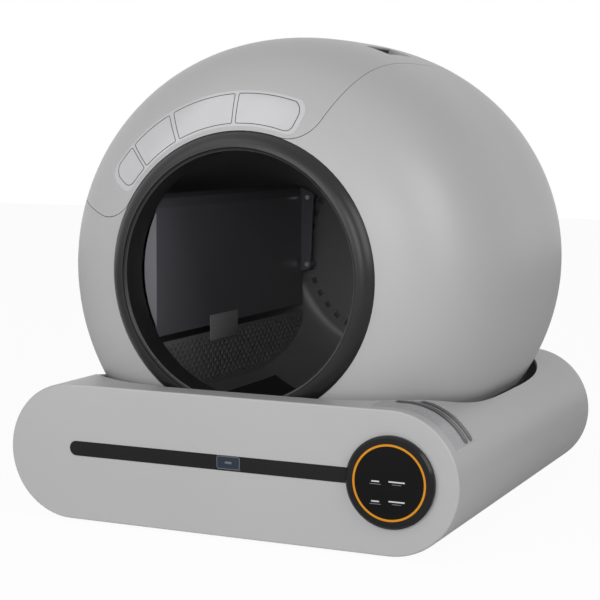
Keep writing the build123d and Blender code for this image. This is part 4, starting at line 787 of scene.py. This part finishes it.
def buildFloorFinish():
    material = bpy.data.materials.new("floorPale")
    material.use_nodes = True
    tree = material.node_tree
    shader = tree.nodes["Principled BSDF"]
    shader.inputs["Base Color"].default_value = stage["floorTone"]
    shader.inputs["Roughness"].default_value = stage["floorGloss"]
    glow = tree.nodes.new("ShaderNodeEmission")
    glow.inputs["Strength"].default_value = 1.0
    path = tree.nodes.new("ShaderNodeLightPath")
    sight = tree.nodes.new("ShaderNodeMath")
    sight.operation = "MULTIPLY"
    sight.inputs[1].default_value = stage["floorLight"]
    link(tree, path.outputs["Is Camera Ray"], sight.inputs[0])
    mix = tree.nodes.new("ShaderNodeMixShader")
    link(tree, sight.outputs[0], mix.inputs["Fac"])
    link(tree, shader.outputs["BSDF"], mix.inputs[1])
    link(tree, glow.outputs["Emission"], mix.inputs[2])
    link(tree, mix.outputs["Shader"], tree.nodes["Material Output"].inputs["Surface"])
    return material


beginPiece()
bpy.ops.mesh.primitive_plane_add(size=stage["floorSize"])
floor = bpy.context.object
floor.name = "floor"
floor.data.materials.append(buildFloorFinish())


def buildWorld():
    world = bpy.data.worlds.new("studio")
    bpy.context.scene.world = world
    world.use_nodes = True
    tree = world.node_tree
    tree.nodes.clear()
    out = tree.nodes.new("ShaderNodeOutputWorld")
    soft = tree.nodes.new("ShaderNodeBackground")
    soft.inputs["Color"].default_value = stage["worldTone"]
    soft.inputs["Strength"].default_value = stage["worldLight"]
    white = tree.nodes.new("ShaderNodeBackground")
    white.inputs["Color"].default_value = (1, 1, 1, 1)
    white.inputs["Strength"].default_value = 1.0
    path = tree.nodes.new("ShaderNodeLightPath")
    seen = tree.nodes.new("ShaderNodeMath")
    seen.operation = "MAXIMUM"
    link(tree, path.outputs["Is Camera Ray"], seen.inputs[0])
    link(tree, path.outputs["Is Transmission Ray"], seen.inputs[1])
    shown = tree.nodes.new("ShaderNodeMath")
    shown.operation = "MAXIMUM"
    link(tree, seen.outputs[0], shown.inputs[0])
    link(tree, path.outputs["Is Glossy Ray"], shown.inputs[1])
    mix = tree.nodes.new("ShaderNodeMixShader")
    link(tree, shown.outputs[0], mix.inputs["Fac"])
    link(tree, soft.outputs["Background"], mix.inputs[1])
    link(tree, white.outputs["Background"], mix.inputs[2])
    link(tree, mix.outputs["Shader"], out.inputs["Surface"])


buildWorld()

lamps = dict(
    key=dict(place=(-1.9, -2.6, 2.5), size=2.2, power=23),
    side=dict(place=(2.8, -1.2, 1.6), size=1.8, power=36),
    right=dict(place=(1.15, -3.0, 0.95), size=1.1, power=18),
    front=dict(place=(-0.55, -3.0, 0.95), size=1.3, power=17),
    low=dict(place=(-1.3, -2.2, 0.35), size=0.8, power=6),
    top=dict(place=(-0.9, -0.5, 3.0), size=2.4, power=6),
)
for name, lamp in lamps.items():
    bpy.ops.object.light_add(type="AREA", location=lamp["place"])
    light = bpy.context.object
    light.name = "lamp_" + name
    light.data.size = lamp["size"]
    light.data.energy = lamp["power"]
    aim = Vector(stage["lampAim"]) - Vector(lamp["place"])
    light.rotation_euler = aim.to_track_quat("-Z", "Y").to_euler()

view = dict(place=(0.8581, -1.9664, 0.4905), turn=24.2697, dip=6.0429, roll=0.2872, lens=95.61, sensor=36.0,
            nearest=0.05)
bpy.ops.object.camera_add(location=view["place"])
camera = bpy.context.object
camera.name = "photoCamera"
aim = Matrix.Rotation(radians(view["turn"]), 3, "Z") @ Matrix.Rotation(radians(90 - view["dip"]), 3, "X")
camera.rotation_euler = (aim @ Matrix.Rotation(radians(view["roll"]), 3, "Z")).to_euler()
camera.data.lens = view["lens"]
camera.data.sensor_width = view["sensor"]
camera.data.clip_start = view["nearest"]
camera.data.dof.use_dof = False
bpy.context.scene.camera = camera
bpy.context.scene.view_settings.view_transform = "Standard"
print("stage, lamps and camera set")
